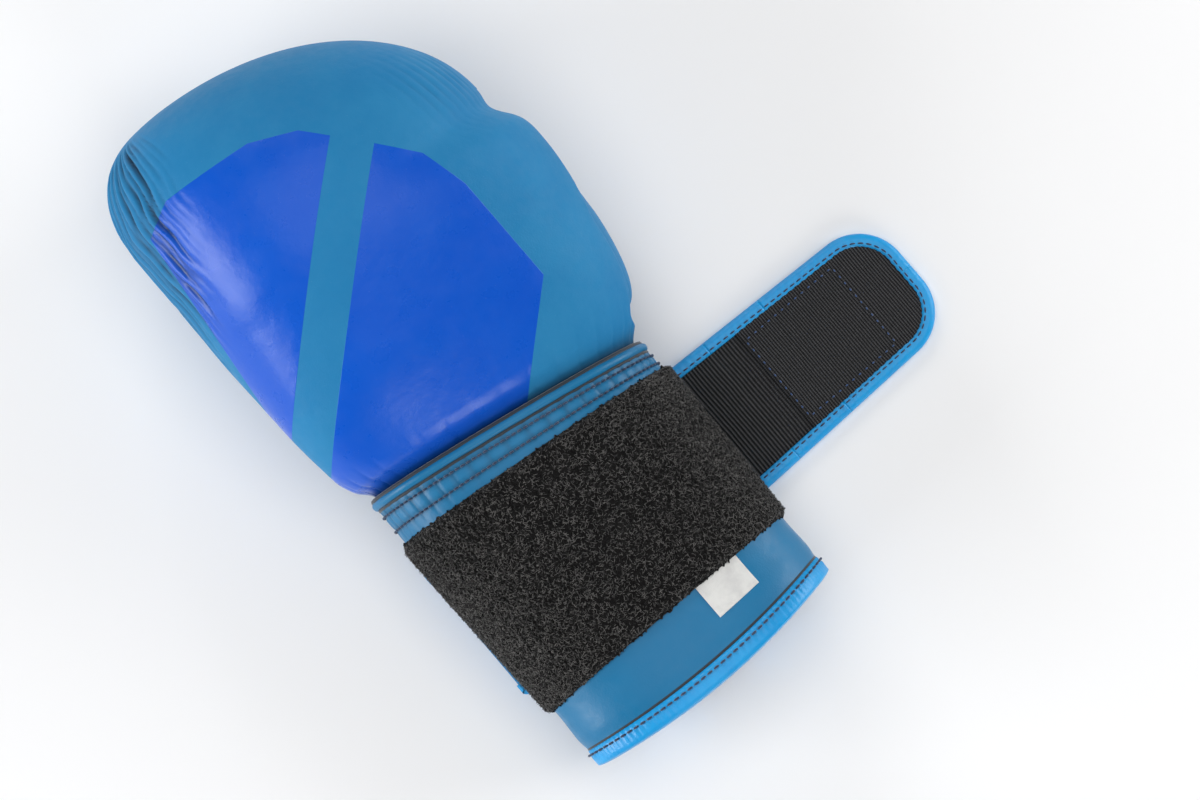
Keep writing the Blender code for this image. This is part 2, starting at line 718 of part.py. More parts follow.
def under_cuff_path(lift):
    """The strap's fixed end in section: from the little-finger side down round the cuff, then flat to the fold."""
    depth = -(CUFF_FLOOR - lift)
    along = -STRAP_MIDDLE + STRAP_ROOT_WIDTH / 2
    angles = np.linspace(math.radians(PATCH_DEGREES[1] + 4), 1.5 * math.pi, 10)
    points = [cuff_point(along, a, depth)[[0, 2]] for a in angles]
    flat = points[-1][1]
    return [*points, *((x, flat) for x in np.linspace(0.0, STRAP_FOLD_X - CLEARANCE / 2, 3)[1:])]


def band(name, low, high, half_width, look):
    """A layer of the strap's fixed end, between two lifts above the surface."""
    rings = []
    for (x0, z0), (x1, z1) in zip(under_cuff_path(low), under_cuff_path(high)):
        front, rear = strap_y() + half_width, strap_y() - half_width
        rings.append([(x0, rear, z0), (x0, front, z0), (x1, front, z1), (x1, rear, z1)])
    sweep(name, rings, look)


def build_strap_root(looks):
    edge = STRAP_ROOT_WIDTH / 2
    cloth = edge - BINDING - CLEARANCE
    band("strap_face_root", FACE_LOW, FACE_LOW + FACE, cloth, looks["leather"])
    band("strap_webbing_root", WEBBING_LOW, STRAP_INSIDE_TOP, cloth, looks["webbing"])
    for name, side in (("strap_binding_front_root", 1), ("strap_binding_rear_root", -1)):
        sections = []
        for out, lift in channel_round_strap():
            path = under_cuff_path(lift)
            sections.append([(x, strap_y() + side * (edge - out), z) for x, z in path])
        rings = [[section[k] for section in sections] for k in range(len(sections[0]))]
        sweep(name, rings, looks["binding"])


def channel_round_strap():
    """The binding in section: (in from the strap's edge, height) points of a channel that opens inwards."""
    wide, top = BINDING_WIDTH, STRAP_TOP
    inside = BINDING
    return [
        (0, 0), (wide, 0), (wide, BINDING), (inside, BINDING),
        (inside, top - BINDING), (wide, top - BINDING), (wide, top), (0, top),
    ]  # fmt: skip


def strap_outline(start, end, inset, tip):
    """Points down the front edge and back up the rear edge of a length of strap, as (out, across)."""
    if not tip:
        front = [(start, strap_half_width(start) - inset), (end, strap_half_width(end) - inset)]
        return front + [(out, -across) for out, across in reversed(front)]
    half = strap_half_width(end) - inset
    radius = STRAP_TIP_RADIUS - inset
    corner = end - inset - radius
    front = [(start, strap_half_width(start) - inset), (corner, half)]
    turns = np.linspace(0, math.pi / 2, 6)[1:]
    front += [(corner + radius * math.sin(t), half - radius + radius * math.cos(t)) for t in turns]
    return front + [(out, -across) for out, across in reversed(front)]


def plate(name, outline, low, high, look):
    """A flat layer of the strap from its outline, as (out, across) points."""
    rings = [[(STRAP_FOLD_X + out, strap_y() + across, z) for out, across in outline] for z in (low, high)]
    return sweep(name, rings, look)


def edge_binding(name, path_at, look):
    """A folded tape along the strap's edge; path_at(inset) gives the edge's points at that inset."""
    lanes = [path_at(out) for out, _ in channel_round_strap()]
    rings = []
    for k in range(len(lanes[0])):
        ring = []
        for lane, (_, height) in zip(lanes, channel_round_strap()):
            out, across = lane[k]
            ring.append((STRAP_FOLD_X + out, strap_y() + across, height))
        rings.append(ring)
    sweep(name, rings, look)


def build_strap_link(number, start, end, tip, looks):
    """One length of the free strap, which stays straight while the fold lines at its ends bend."""
    near, far = start + CLEARANCE / 2, end - (0 if tip else CLEARANCE / 2)
    cloth = BINDING + CLEARANCE
    outline = strap_outline(near, far, cloth, tip)
    plate(f"strap_face_{number}", outline, FACE_LOW, FACE_LOW + FACE, looks["leather"])
    plate(f"strap_webbing_{number}", outline, WEBBING_LOW, STRAP_INSIDE_TOP, looks["webbing"])
    if far > HOOK_START + 1 * MM:
        hook = strap_outline(max(near, HOOK_START), far, BINDING_WIDTH + CLEARANCE, tip)
        low = STRAP_INSIDE_TOP + CLEARANCE
        plate(f"hook_tape_{number}", hook, low, low + HOOK_TAPE, looks["hook"])
    if tip:
        edge_binding("strap_binding_tip", lambda inset: strap_outline(near, far, inset, True), looks["binding"])
        return
    for side, name in ((0, "front"), (1, "rear")):
        def edge(inset, side=side):
            outline = strap_outline(near, far, inset, False)
            return outline[:2] if side == 0 else outline[2:]
        edge_binding(f"strap_binding_{name}_{number}", edge, looks["binding"])


def build_strap(looks):
    build_strap_root(looks)
    start = 0.0
    for number, length in enumerate(STRAP_LENGTHS, start=1):
        build_strap_link(number, start, start + length, number == len(STRAP_LENGTHS), looks)
        start += length


def main():
    clear_scene()
    holder = bpy.data.collections.new("boxing_glove")
    bpy.context.scene.collection.children.link(holder)
    looks = {
        "leather": material("matte_leather", MATTE_TEAL, 0.55),
        "foam": material("foam", FOAM_GREY, 0.9),
        "lining": material("lining", LINING_BLUE, 0.9),
        "binding": material("binding", BRIGHT_BLUE, 0.45),
        "webbing": material("webbing", BLACK_WEB, 0.85),
        "hook": material("hook_tape", BLACK_WEB, 0.7),
        "loop": material("loop_tape", BLACK_LOOP, 0.95),
        "thread": material("thread", THREAD_NAVY, 0.7),
        "label": material("label", LABEL_WHITE, 0.8),
    }
    build_fist(looks)
    build_grip_bar(looks)
    build_thumb(looks)
    build_thumb_tie(looks)
    build_cuff(looks)
    build_wrist_seam(looks)
    build_patch(looks)
    build_strap(looks)


main()
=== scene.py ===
"""The look of a left-hand boxing glove: blue leather, loop patch and an open hook-and-loop strap, on white.

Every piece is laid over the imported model's solids. The glove's shape functions repeat the model's own, in
metres: `along` runs from the wrist seam towards the knuckles, and an angle of 0 is on the thumb side, a quarter
turn on top.
"""

import math

import bmesh
import bpy
import numpy as np
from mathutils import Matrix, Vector

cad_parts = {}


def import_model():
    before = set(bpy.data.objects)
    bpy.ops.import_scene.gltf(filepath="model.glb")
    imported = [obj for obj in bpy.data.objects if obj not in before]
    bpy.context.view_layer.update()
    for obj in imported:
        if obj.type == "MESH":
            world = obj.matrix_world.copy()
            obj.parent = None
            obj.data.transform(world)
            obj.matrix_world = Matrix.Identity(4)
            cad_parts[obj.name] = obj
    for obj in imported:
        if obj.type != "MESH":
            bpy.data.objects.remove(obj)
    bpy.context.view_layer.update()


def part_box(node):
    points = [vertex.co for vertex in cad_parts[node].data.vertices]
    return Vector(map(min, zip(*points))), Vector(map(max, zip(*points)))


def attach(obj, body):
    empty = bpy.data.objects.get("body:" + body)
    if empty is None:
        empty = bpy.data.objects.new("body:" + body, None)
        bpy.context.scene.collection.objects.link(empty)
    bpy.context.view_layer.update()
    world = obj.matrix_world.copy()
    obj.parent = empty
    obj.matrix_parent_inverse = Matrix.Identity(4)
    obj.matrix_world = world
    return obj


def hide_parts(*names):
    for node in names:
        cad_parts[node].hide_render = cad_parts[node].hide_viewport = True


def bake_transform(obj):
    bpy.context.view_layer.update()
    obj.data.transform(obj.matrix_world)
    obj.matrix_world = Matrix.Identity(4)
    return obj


MM = 0.001

# The glove's sizes, as the model has them
FIST_LENGTH = 183 * MM
CUFF_LENGTH = 127 * MM
REST_TO_WRIST = 105 * MM
WRIST_SLANT = 0.168
SLANT_FORWARD = 50 * MM
SLANT_BACK = 36 * MM
CUFF_BOW = 6 * MM
PATCH_TO_CUFF_END = 31 * MM
FIST_HALF_WIDTH = 73 * MM
FIST_HEIGHT = 112 * MM
KNUCKLE_LEAN = 33 * MM
KNUCKLE_HEIGHT = 48 * MM
WRIST_HALF_WIDTH = 61 * MM
WRIST_TOP = 70 * MM
WRIST_BOTTOM = 8 * MM
PALM_HOLLOW = 15 * MM
CUFF_END_HALF_WIDTH = 58.5 * MM
CUFF_END_TOP = 63 * MM
CUFF_FLOOR = 6.2 * MM
CUFF_WALL = 9.8 * MM  # from the leather's face to the lining
SLIT_WIDTH = 12 * MM
SLIT_END = 28 * MM
THUMB_START = 14 * MM
THUMB_TIP = 97 * MM
THUMB_HALF_WIDTH = 18.5 * MM
THUMB_HALF_HEIGHT = 21 * MM
THUMB_OUT = 64 * MM
THUMB_HEIGHT = 36 * MM
THUMB_TIP_INWARD = 6 * MM
POCKET_LENGTH = 118 * MM
POCKET_LEFT = 50 * MM
POCKET_RIGHT = 33 * MM
POCKET_FLOOR = 9 * MM
POCKET_TOP = 64 * MM
PATCH_START = 15 * MM
PATCH_REAR = PATCH_TO_CUFF_END - CUFF_LENGTH
PATCH_DEGREES = (-22, 196)
LABEL_WIDTH = 22 * MM
LABEL_LENGTH = 14 * MM
LABEL_OUT = 24 * MM
PATCH_THICKNESS = 2.3 * MM
PALM_PANEL_DEGREES = (216, 324)
PALM_PANEL_END = 78 * MM
FINGER_PANEL_END = 158 * MM
STRAP_Y = -REST_TO_WRIST - 52.5 * MM
STRAP_FOLD_X = 35 * MM
STRAP_LENGTHS = (33 * MM, 27 * MM, 29 * MM, 42 * MM)
STRAP_ROOT_WIDTH = 64 * MM
STRAP_TIP_WIDTH = 55 * MM
STRAP_TIP_RADIUS = 21 * MM
STRAP_TOP = 4.9 * MM
HOOK_START_X = 94 * MM
STITCH_BOX = (95.5 * MM, 141 * MM, 20 * MM)  # the strap's stitched rectangle: from x, to x, half its width
BACK_ROUNDNESS = 2.1
PALM_ROUNDNESS = 2.7
NOSE_ROUNDNESS = 2.2

# The matte band across the print: a point on its middle line, its slope and half its width
BAND_X = -20 * MM
BAND_Y = -24 * MM
BAND_SLOPE = math.radians(41)
BAND_HALF_WIDTH = 8.5 * MM

# Folded tapes, stitch rows and the strap's layers
CUFF_TAPE_WIDTH = 7.4 * MM
SLIT_TAPE_WIDTH = 6 * MM
STRAP_TAPE_WIDTH = 5.6 * MM
STRAP_STITCH_INSET = 4.1 * MM
TAPE_STITCH_PITCH = 3.3 * MM
WELT_STITCH_ROWS = (("front", -5 * MM), ("rear", -10.5 * MM))
FACE_LAYER = (0.9 * MM, 1.9 * MM)  # lowest and highest
ELASTIC_LAYER = (2.2 * MM, 3.9 * MM)
HOOK_LAYER = (4.05 * MM, 4.45 * MM)
FIBRES = 20000

# Camera and lights: name, place, size and power
CAMERA_AZIMUTH = -40.4
CAMERA_ELEVATION = 86
CAMERA_DISTANCE = 2.0
CAMERA_TARGET = (35.5 * MM, -122 * MM, 50 * MM)
LIGHTS_TARGET = (0.02, -0.10, 0.04)
LIGHTS = (
    ("softbox_left", (-1.9, 0.35, 0.70), (1.6, 0.8), 32),
    ("softbox_right", (1.9, -0.60, 0.80), (1.6, 0.9), 24),
    ("softbox_far", (0.5, 2.1, 1.3), (1.6, 0.8), 16),
    ("softbox_near", (-0.5, -2.2, 0.9), (1.2, 0.7), 14),
    ("overhead", (0.0, -0.1, 2.6), (2.6, 2.6), 29),
)
WORLD_STRENGTH = 0.14
FLOOR_HALF = 4.0

# Colours, linear
TEAL = (0.003, 0.182, 0.415)
TEAL_WORN = (0.022, 0.245, 0.480)
CUFF_BLUE = (0.0005, 0.150, 0.330)
CUFF_WORN = (0.001, 0.190, 0.400)
PRINT_BLUE = (0.0, 0.084, 0.560)
BINDING_BLUE = (0.0, 0.300, 0.690)
NAVY = (0.004, 0.025, 0.075)
# Painted shade: the dark that the leather's creases, seams and stitch rows are darkened towards
CREASE_SHADE = (0.0005, 0.012, 0.035)
WHITE = (0.80, 0.80, 0.78)
STRAP_THREAD = (0.015, 0.055, 0.17)
# Painted shade: the colour of the dark cords laid in the welt's creases and along the cuff tape's groove
CREASE_SHADE_CORD = (0.003, 0.010, 0.020)

rng = np.random.default_rng(7)


# ---------------------------------------------------------------- shapes


def eased(stations, at):
    """A smooth curve through (place, value) stations, level at its two ends; at may be an array."""
    places = np.array([s[0] for s in stations], float)
    values = np.array([s[1] for s in stations], float)
    slopes = np.zeros(len(values))
    if len(values) > 2:
        slopes[1:-1] = (values[2:] - values[:-2]) / (places[2:] - places[:-2])
    at = np.clip(at, places[0], places[-1])
    k = np.clip(np.searchsorted(places, at) - 1, 0, len(places) - 2)
    span = places[k + 1] - places[k]
    u = (at - places[k]) / span
    return (
        values[k] * (1 + 2 * u) * (1 - u) ** 2
        + slopes[k] * span * u * (1 - u) ** 2
        + values[k + 1] * u * u * (3 - 2 * u)
        + slopes[k + 1] * span * u * u * (u - 1)
    )


def nose(at, start, end, power=NOSE_ROUNDNESS):
    u = np.clip((at - start) / (end - start), 0, 1)
    return np.maximum(1 - u**power, 0) ** (1 / power)


def smoothstep(low, high, at):
    u = np.clip((at - low) / (high - low), 0, 1)
    return u * u * (3 - 2 * u)


def bump(at, middle, width):
    return np.exp(-(((at - middle) / width) ** 2))


def ring_point(left, right, low, high, angle):
    c, s = np.cos(angle), np.sin(angle)
    power = np.where(s >= 0, BACK_ROUNDNESS, PALM_ROUNDNESS)
    x = (left + right) / 2 + (right - left) / 2 * np.sign(c) * np.abs(c) ** (2 / power)
    z = (low + high) / 2 + (high - low) / 2 * np.sign(s) * np.abs(s) ** (2 / power)
    return x, z


def placed(along, x, z):
    """Points in the glove's frame.

    The wrist seam slants, and its slant dies out either way. The cuff's open end is bowed.
    """
    reach = np.where(along > 0, SLANT_FORWARD, SLANT_BACK)
    slant = WRIST_SLANT * (1 - smoothstep(0, reach, np.abs(along)))
    bowed = CUFF_BOW * smoothstep(CUFF_LENGTH - PATCH_TO_CUFF_END, CUFF_LENGTH, -along)
    bowed = bowed * (0.5 - (x / CUFF_END_HALF_WIDTH) ** 2)
    return joined(x, along - REST_TO_WRIST - slant * x - bowed, z)


def fist_surface(along, angle):
    """Points of the fist's outer face, with the hollow in its side where the thumb lies."""
    length, half = FIST_LENGTH, FIST_HALF_WIDTH
    rise = FIST_HEIGHT - WRIST_TOP
    lefts = ((0, WRIST_HALF_WIDTH), (0.11 * length, 0.91 * half), (0.6 * length, 0.96 * half))
    rights = (
        (0, WRIST_HALF_WIDTH),
        (0.11 * length, 0.985 * half),
        (0.19 * length, 1.065 * half),
        (0.32 * length, 1.135 * half),
        (0.42 * length, 1.15 * half),
        (0.48 * length, 1.13 * half),
        (0.54 * length, 1.035 * half),
        (0.58 * length, 1.04 * half),
    )
    highs = (
        (0, WRIST_TOP),
        (0.08 * length, WRIST_TOP + 0.2 * rise),
        (0.28 * length, WRIST_TOP + 0.62 * rise),
        (0.6 * length, FIST_HEIGHT),
    )
    lows = (
        (0, WRIST_BOTTOM),
        (0.14 * length, PALM_HOLLOW),
        (0.27 * length, PALM_HOLLOW),
        (0.52 * length, -1.5 * MM),
    )
    front_x, front_z = -KNUCKLE_LEAN, KNUCKLE_HEIGHT
    left = front_x - (eased(lefts, along) + front_x) * nose(along, 0.76 * length, length, 2.5)
    right = front_x + (eased(rights, along) - front_x) * nose(along, 0.58 * length, length, 2.0)
    high = front_z + (eased(highs, along) - front_z) * nose(along, 0.6 * length, length)
    low = front_z + (eased(lows, along) - front_z) * nose(along, 0.74 * length, length)
    x, z = ring_point(left, right, low, high, angle)
    z = np.maximum(z, 0.0)
    wall = THUMB_OUT - THUMB_HALF_WIDTH - 0.7 * MM
    ledge = THUMB_HEIGHT + THUMB_HALF_HEIGHT
    beside = smoothstep(THUMB_START - 6 * MM, THUMB_START + 4 * MM, along)
    beside = beside * (1 - smoothstep(THUMB_TIP + 1 * MM, THUMB_TIP + 12 * MM, along))
    root = 1 - smoothstep(THUMB_START + 4 * MM, THUMB_START + 30 * MM, along)
    under = 1 - smoothstep(ledge - 1 * MM - 16 * MM * root, ledge + 8 * MM - 12 * MM * root, z)
    x = x + (np.minimum(x, wall) - x) * beside * under
    return placed(along, x, z)


def cuff_surface(along, angle, depth=0.0):
    share = np.clip(-along / CUFF_LENGTH, 0, 1)
    half = eased(((0, WRIST_HALF_WIDTH), (1, CUFF_END_HALF_WIDTH)), share)
    high = eased(((0, WRIST_TOP), (1, CUFF_END_TOP)), share)
    low = WRIST_BOTTOM + (CUFF_FLOOR - WRIST_BOTTOM) * smoothstep(0, 0.12, share)
    x, z = ring_point(-half + depth, half - depth, low + depth, high - depth, angle)
    return placed(along, x, z)


def pocket_surface(along, angle, depth=0.0):
    length = POCKET_LENGTH
    side = WRIST_HALF_WIDTH - CUFF_WALL
    floor = PALM_HOLLOW + POCKET_FLOOR
    left = -eased(((0, side), (0.3 * length, POCKET_LEFT)), along) + depth
    right = eased(((0, side), (0.16 * length, POCKET_RIGHT)), along) - depth
    high = eased(((0, WRIST_TOP - CUFF_WALL), (0.4 * length, POCKET_TOP)), along) - depth
    lows = ((0, WRIST_BOTTOM + CUFF_WALL), (0.25 * length, floor), (0.5 * length, floor))
    low = eased((*lows, (0.75 * length, 1.8 * POCKET_FLOOR)), along) + depth
    front_x, front_z = (POCKET_RIGHT - POCKET_LEFT) / 2, (POCKET_TOP + floor) / 2
    share = nose(along, 0.7 * length, length)
    left, right = front_x + (left - front_x) * share, front_x + (right - front_x) * share
    low, high = front_z + (low - front_z) * share, front_z + (high - front_z) * share
    x, z = ring_point(left, right, low, high, angle)
    return placed(along, x, z)


def thumb_surface(along, angle, depth=0.0):
    start, end = THUMB_START + depth, THUMB_TIP - depth
    middle = (THUMB_START + THUMB_TIP) / 2
    front = nose(along, 0.62 * THUMB_TIP, end, 2.3)
    rear = nose(-along, -(THUMB_START + 46 * MM), -start, 2.1)
    share = np.where(along >= middle, front, rear)
    x = THUMB_OUT - smoothstep(middle, THUMB_TIP, along) * THUMB_TIP_INWARD
    half_x, half_z = (THUMB_HALF_WIDTH - depth) * share, (THUMB_HALF_HEIGHT - depth) * share
    inner = np.maximum(x - half_x, THUMB_OUT - THUMB_HALF_WIDTH + depth)
    x, z = ring_point(inner, x + half_x, THUMB_HEIGHT - half_z, THUMB_HEIGHT + half_z, angle)
    return placed(along, x, z)


def joined(x, y, z):
    """One array of points from coordinates that broadcast together."""
    return np.stack(np.broadcast_arrays(x, y, z), axis=-1)


def upward(count):
    return np.tile((0, 0, 1.0), (count, 1))


def outward(grid, wraps=True):
    """Unit normals of a grid of points, out of the glove."""
    down = np.gradient(grid, axis=0)
    if wraps:
        across = np.roll(grid, -1, axis=1) - np.roll(grid, 1, axis=1)
    else:
        across = np.gradient(grid, axis=1)
    normals = np.cross(down, across)
    lengths = np.linalg.norm(normals, axis=2, keepdims=True)
    flat = lengths[..., 0] < 1e-14
    normals = normals / np.maximum(lengths, 1e-14)
    normals[flat] = (0.0, 1.0, 0.0)
    return normals


def around(count):
    return np.linspace(0, 2 * math.pi, count, endpoint=False)[None, :]


def waves(at, count, seed):
    """A smooth one-dimensional noise of about `count` waves per unit, from -1 to 1."""
    phases = np.random.default_rng(seed).uniform(0, 2 * math.pi, 5)
    total = 0.0
    for k, phase in enumerate(phases):
        total = total + np.sin(2 * math.pi * count * (0.6 + 0.27 * k) * at + phase) / (1 + 0.5 * k)
    return total / 2.9


# ---------------------------------------------------------------- mesh helpers


def finish_mesh(name, verts, faces, look, body, smooth=True, crease=None):
    """An object from points and faces. `crease` is painted shade: it darkens the material at each point, from 0
    to 1.
    """
    mesh = bpy.data.meshes.new(name)
    mesh.from_pydata([tuple(v) for v in verts], [], faces)
    if crease is not None:
        mesh.attributes.new("crease", "FLOAT", "POINT").data.foreach_set("value", crease)
    mesh.validate()
    work = bmesh.new()
    work.from_mesh(mesh)
    bmesh.ops.remove_doubles(work, verts=work.verts, dist=1e-7)
    bmesh.ops.recalc_face_normals(work, faces=work.faces)
    work.to_mesh(mesh)
    work.free()
    made = bpy.data.objects.new(name, mesh)
    bpy.context.scene.collection.objects.link(made)
    mesh.materials.append(look)
    if smooth:
        mesh.shade_smooth()
    if body:
        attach(made, body)
    return made


def grid_faces(rows, columns, wraps, offset=0, flip=False):
    faces = []
    last = columns if wraps else columns - 1
    for r in range(rows - 1):
        for c in range(last):
            d = (c + 1) % columns
            quad = (r * columns + c, (r + 1) * columns + c, (r + 1) * columns + d, r * columns + d)
            quad = tuple(offset + q for q in quad)
            faces.append(quad[::-1] if flip else quad)
    return faces


def closing_faces(border, count, wraps=False):
    """Quads between a border of the outer grid and the same border of the inner one, `count` points on."""
    ends = zip(border, border[1:] + ([border[0]] if wraps else []))
    return [(a, b, count + b, count + a) for a, b in ends]


def grid_borders(rows, columns, wraps=False):
    ends = [[r * columns + c for c in range(columns)] for r in (0, rows - 1)]
    return ends if wraps else ends + [[r * columns + c for r in range(rows)] for c in (0, columns - 1)]


def skin(name, grid, look, body, wraps=True, thickness=0.0, crease=None):
    """A surface from a grid of points and, if it has a thickness, its inner face and closed edges."""
    rows, columns = grid.shape[:2]
    verts = grid.reshape(-1, 3)
    faces = grid_faces(rows, columns, wraps)
    if thickness:
        inner = grid - outward(grid, wraps) * thickness
        count = len(verts)
        verts = np.concatenate([verts, inner.reshape(-1, 3)])
        faces += grid_faces(rows, columns, wraps, count, flip=True)
        for border in grid_borders(rows, columns, wraps):
            faces += closing_faces(border, count, wraps)
    if crease is not None:
        crease = np.tile(np.clip(crease, 0, 1).ravel(), 2 if thickness else 1).astype(np.float32)
    return finish_mesh(name, verts, faces, look, body, crease=crease)


def end_caps(rows, columns):
    first = tuple(range(columns))
    last = tuple((rows - 1) * columns + c for c in reversed(range(columns)))
    return [first, last]


def folded_tape(name, rings, look, body):
    """A folded tape as a closed solid through matching outlines, capped at both ends."""
    grid = np.stack(rings, axis=1)
    rows, columns = grid.shape[:2]
    faces = grid_faces(rows, columns, True) + end_caps(rows, columns)
    return finish_mesh(name, grid.reshape(-1, 3), faces, look, body)


def tube(name, path, radius, sides, look, body, closed=False, squash=1.0, up=None):
    """A round cord along a path; `up` gives a direction per point, and squash flattens it that way."""
    path = np.asarray(path, float)
    if closed:
        ahead = np.roll(path, -1, 0) - np.roll(path, 1, 0)
    else:
        ahead = np.gradient(path, axis=0)
    ahead /= np.linalg.norm(ahead, axis=1, keepdims=True)
    ups = np.tile(np.array((0.0, 0.0, 1.0)), (len(path), 1)) if up is None else np.asarray(up, float)
    side = np.cross(ahead, ups)
    side /= np.maximum(np.linalg.norm(side, axis=1, keepdims=True), 1e-9)
    ups = np.cross(side, ahead)
    turns = np.linspace(0, 2 * math.pi, sides, endpoint=False)
    radii = np.broadcast_to(np.asarray(radius, float), (len(path),))
    grid = np.stack(
        [path + radii[:, None] * (math.cos(t) * side + squash * math.sin(t) * ups) for t in turns], axis=1
    )
    rows, columns = grid.shape[:2]
    faces = grid_faces(rows, columns, True)
    if closed:
        for c in range(columns):
            d = (c + 1) % columns
            base = (rows - 1) * columns
            faces.append((base + c, c, d, base + d))
    else:
        faces += end_caps(rows, columns)
    return finish_mesh(name, grid.reshape(-1, 3), faces, look, body)


def stitches(name, path, normals, look, body, pitch=3.2 * MM, length=2.3 * MM, radius=0.34 * MM):
    """A row of separate thread stitches laid on a surface path, each a small bowed capsule."""
    lift = 0.1 * MM
    path, normals = np.asarray(path, float), np.asarray(normals, float)
    steps = np.linalg.norm(np.diff(path, axis=0), axis=1)
    reach = np.concatenate([[0], np.cumsum(steps)])
    count = max(int(reach[-1] / pitch), 1)
    verts, faces = [], []
    sides, slices = 6, 5
    for k in range(count):
        middle = (k + 0.5) * reach[-1] / count
        places = middle + np.linspace(-length / 2, length / 2, slices)
        centre = np.stack([np.interp(places, reach, path[:, a]) for a in range(3)], axis=1)
        normal = np.array([np.interp(middle, reach, normals[:, a]) for a in range(3)])
        normal /= np.linalg.norm(normal)
        ahead = centre[-1] - centre[0]
        ahead /= max(np.linalg.norm(ahead), 1e-9)
        side = np.cross(ahead, normal)
        side /= max(np.linalg.norm(side), 1e-9)
        start = len(verts)
        for s in range(slices):
            u = s / (slices - 1)
            size = radius * (0.25 + 0.75 * math.sin(math.pi * (0.12 + 0.76 * u)) ** 0.6)
            bow = lift + radius * (math.sin(math.pi * u) * 1.1 - 0.5)
            for t in range(sides):
                a = 2 * math.pi * t / sides
                verts.append(centre[s] + normal * (bow + size * math.sin(a)) + side * (size * math.cos(a)))
        for s in range(slices - 1):
            for t in range(sides):
                a, b = start + s * sides + t, start + s * sides + (t + 1) % sides
                faces.append((a, b, b + sides, a + sides))
        faces.append(tuple(start + t for t in reversed(range(sides))))
        faces.append(tuple(start + (slices - 1) * sides + t for t in range(sides)))
    return finish_mesh(name, verts, faces, look, body)


# ---------------------------------------------------------------- materials


class Nodes:
    """A small helper that adds nodes to a material and joins them."""

    def __init__(self, name):
        self.look = bpy.data.materials.new(name)
        self.look.use_nodes = True
        self.tree = self.look.node_tree
        self.shader = self.tree.nodes["Principled BSDF"]
        self.place = self.add("ShaderNodeTexCoord").outputs["Object"]

    def add(self, kind, **inputs):
        node = self.tree.nodes.new(kind)
        for key, value in inputs.items():
            self.put(node.inputs[key.replace("_", " ")], value)
        return node

    def put(self, socket, value):
        if isinstance(value, bpy.types.NodeSocket):
            self.tree.links.new(value, socket)
        else:
            socket.default_value = value

    def maths(self, operation, first, second=0.0):
        node = self.tree.nodes.new("ShaderNodeMath")
        node.operation = operation
        self.put(node.inputs[0], first)
        self.put(node.inputs[1], second)
        return node.outputs[0]

    def times(self, first, second):
        return self.maths("MULTIPLY", first, second)

    def plus(self, first, second):
        return self.maths("ADD", first, second)

    def minus(self, first, second):
        return self.maths("SUBTRACT", first, second)

    def noise(self, scale, detail=3.0, roughness=0.55):
        node = self.add("ShaderNodeTexNoise", Scale=scale, Detail=detail, Roughness=roughness)
        self.put(node.inputs["Vector"], self.place)
        return node.outputs["Fac"]

    def cells(self, scale, feature="F1"):
        node = self.add("ShaderNodeTexVoronoi", Scale=scale)
        node.feature = feature
        self.put(node.inputs["Vector"], self.place)
        return node.outputs["Distance"]

    def pores(self):
        return self.plus(self.cells(1500, "SMOOTH_F1"), self.times(self.noise(2600, 2), 0.6))

    def axes(self):
        node = self.add("ShaderNodeSeparateXYZ", Vector=self.place)
        return node.outputs["X"], node.outputs["Y"], node.outputs["Z"]

    def ramp(self, value, low, high, first=0.0, last=1.0):
        node = self.tree.nodes.new("ShaderNodeMapRange")
        node.interpolation_type = "SMOOTHSTEP"
        self.put(node.inputs["Value"], value)
        for key, number in (("From Min", low), ("From Max", high), ("To Min", first), ("To Max", last)):
            self.put(node.inputs[key], number)
        return node.outputs["Result"]

    def mix(self, share, first, second):
        node = self.tree.nodes.new("ShaderNodeMix")
        node.data_type = "RGBA"
        self.put(node.inputs["Factor"], share)
        self.put(node.inputs["A"], (*first, 1.0) if isinstance(first, tuple) else first)
        self.put(node.inputs["B"], (*second, 1.0) if isinstance(second, tuple) else second)
        return node.outputs["Result"]

    def crease(self):
        # The painted crease shade at each point, from the mesh's crease attribute
        node = self.tree.nodes.new("ShaderNodeAttribute")
        node.attribute_name = "crease"
        return node.outputs["Fac"]

    def relief(self, height, distance, strength=1.0, under=None):
        node = self.add("ShaderNodeBump", Height=height, Distance=distance, Strength=strength)
        if under is not None:
            self.put(node.inputs["Normal"], under)
        return node.outputs["Normal"]

    def end(self, colour=None, roughness=None, normal=None, **plain):
        for key, value in (("Base Color", colour), ("Roughness", roughness), ("Normal", normal)):
            if value is not None:
                value = (*value, 1.0) if isinstance(value, tuple) and len(value) == 3 else value
                self.put(self.shader.inputs[key], value)
        for key, value in plain.items():
            self.shader.inputs[key.replace("_", " ")].default_value = value
        return self.look


def leather_look(name, base, worn, roughness, shade_creases=False):
    """Matte synthetic leather: pebble grain, fine pores, cloudy wear and pale dust specks."""
    n = Nodes(name)
    clouds = n.ramp(n.noise(26, 5, 0.6), 0.35, 0.72)
    scuffs = n.ramp(n.noise(160, 6, 0.7), 0.66, 0.80)
    specks = n.ramp(n.cells(420), 0.045, 0.028)
    colour = n.mix(n.times(clouds, 0.35), base, worn)
    colour = n.mix(n.times(scuffs, 0.18), colour, worn)
    colour = n.mix(n.times(specks, 0.12), colour, (0.45, 0.55, 0.62))
    # Painted shade: darker in the creases, seams and stitch rows that the mesh's crease attribute marks
    if shade_creases:
        colour = n.mix(n.times(n.crease(), 0.85), colour, CREASE_SHADE)
    normal = n.relief(n.pores(), 0.00012, 0.35, n.relief(n.noise(70, 4), 0.0006, 0.35))
    rough = n.ramp(n.noise(240, 4), 0.3, 0.75, roughness - 0.05, roughness + 0.07)
    return n.end(colour, rough, normal, Sheen_Weight=0.05, Sheen_Roughness=0.5, Specular_IOR_Level=0.4)


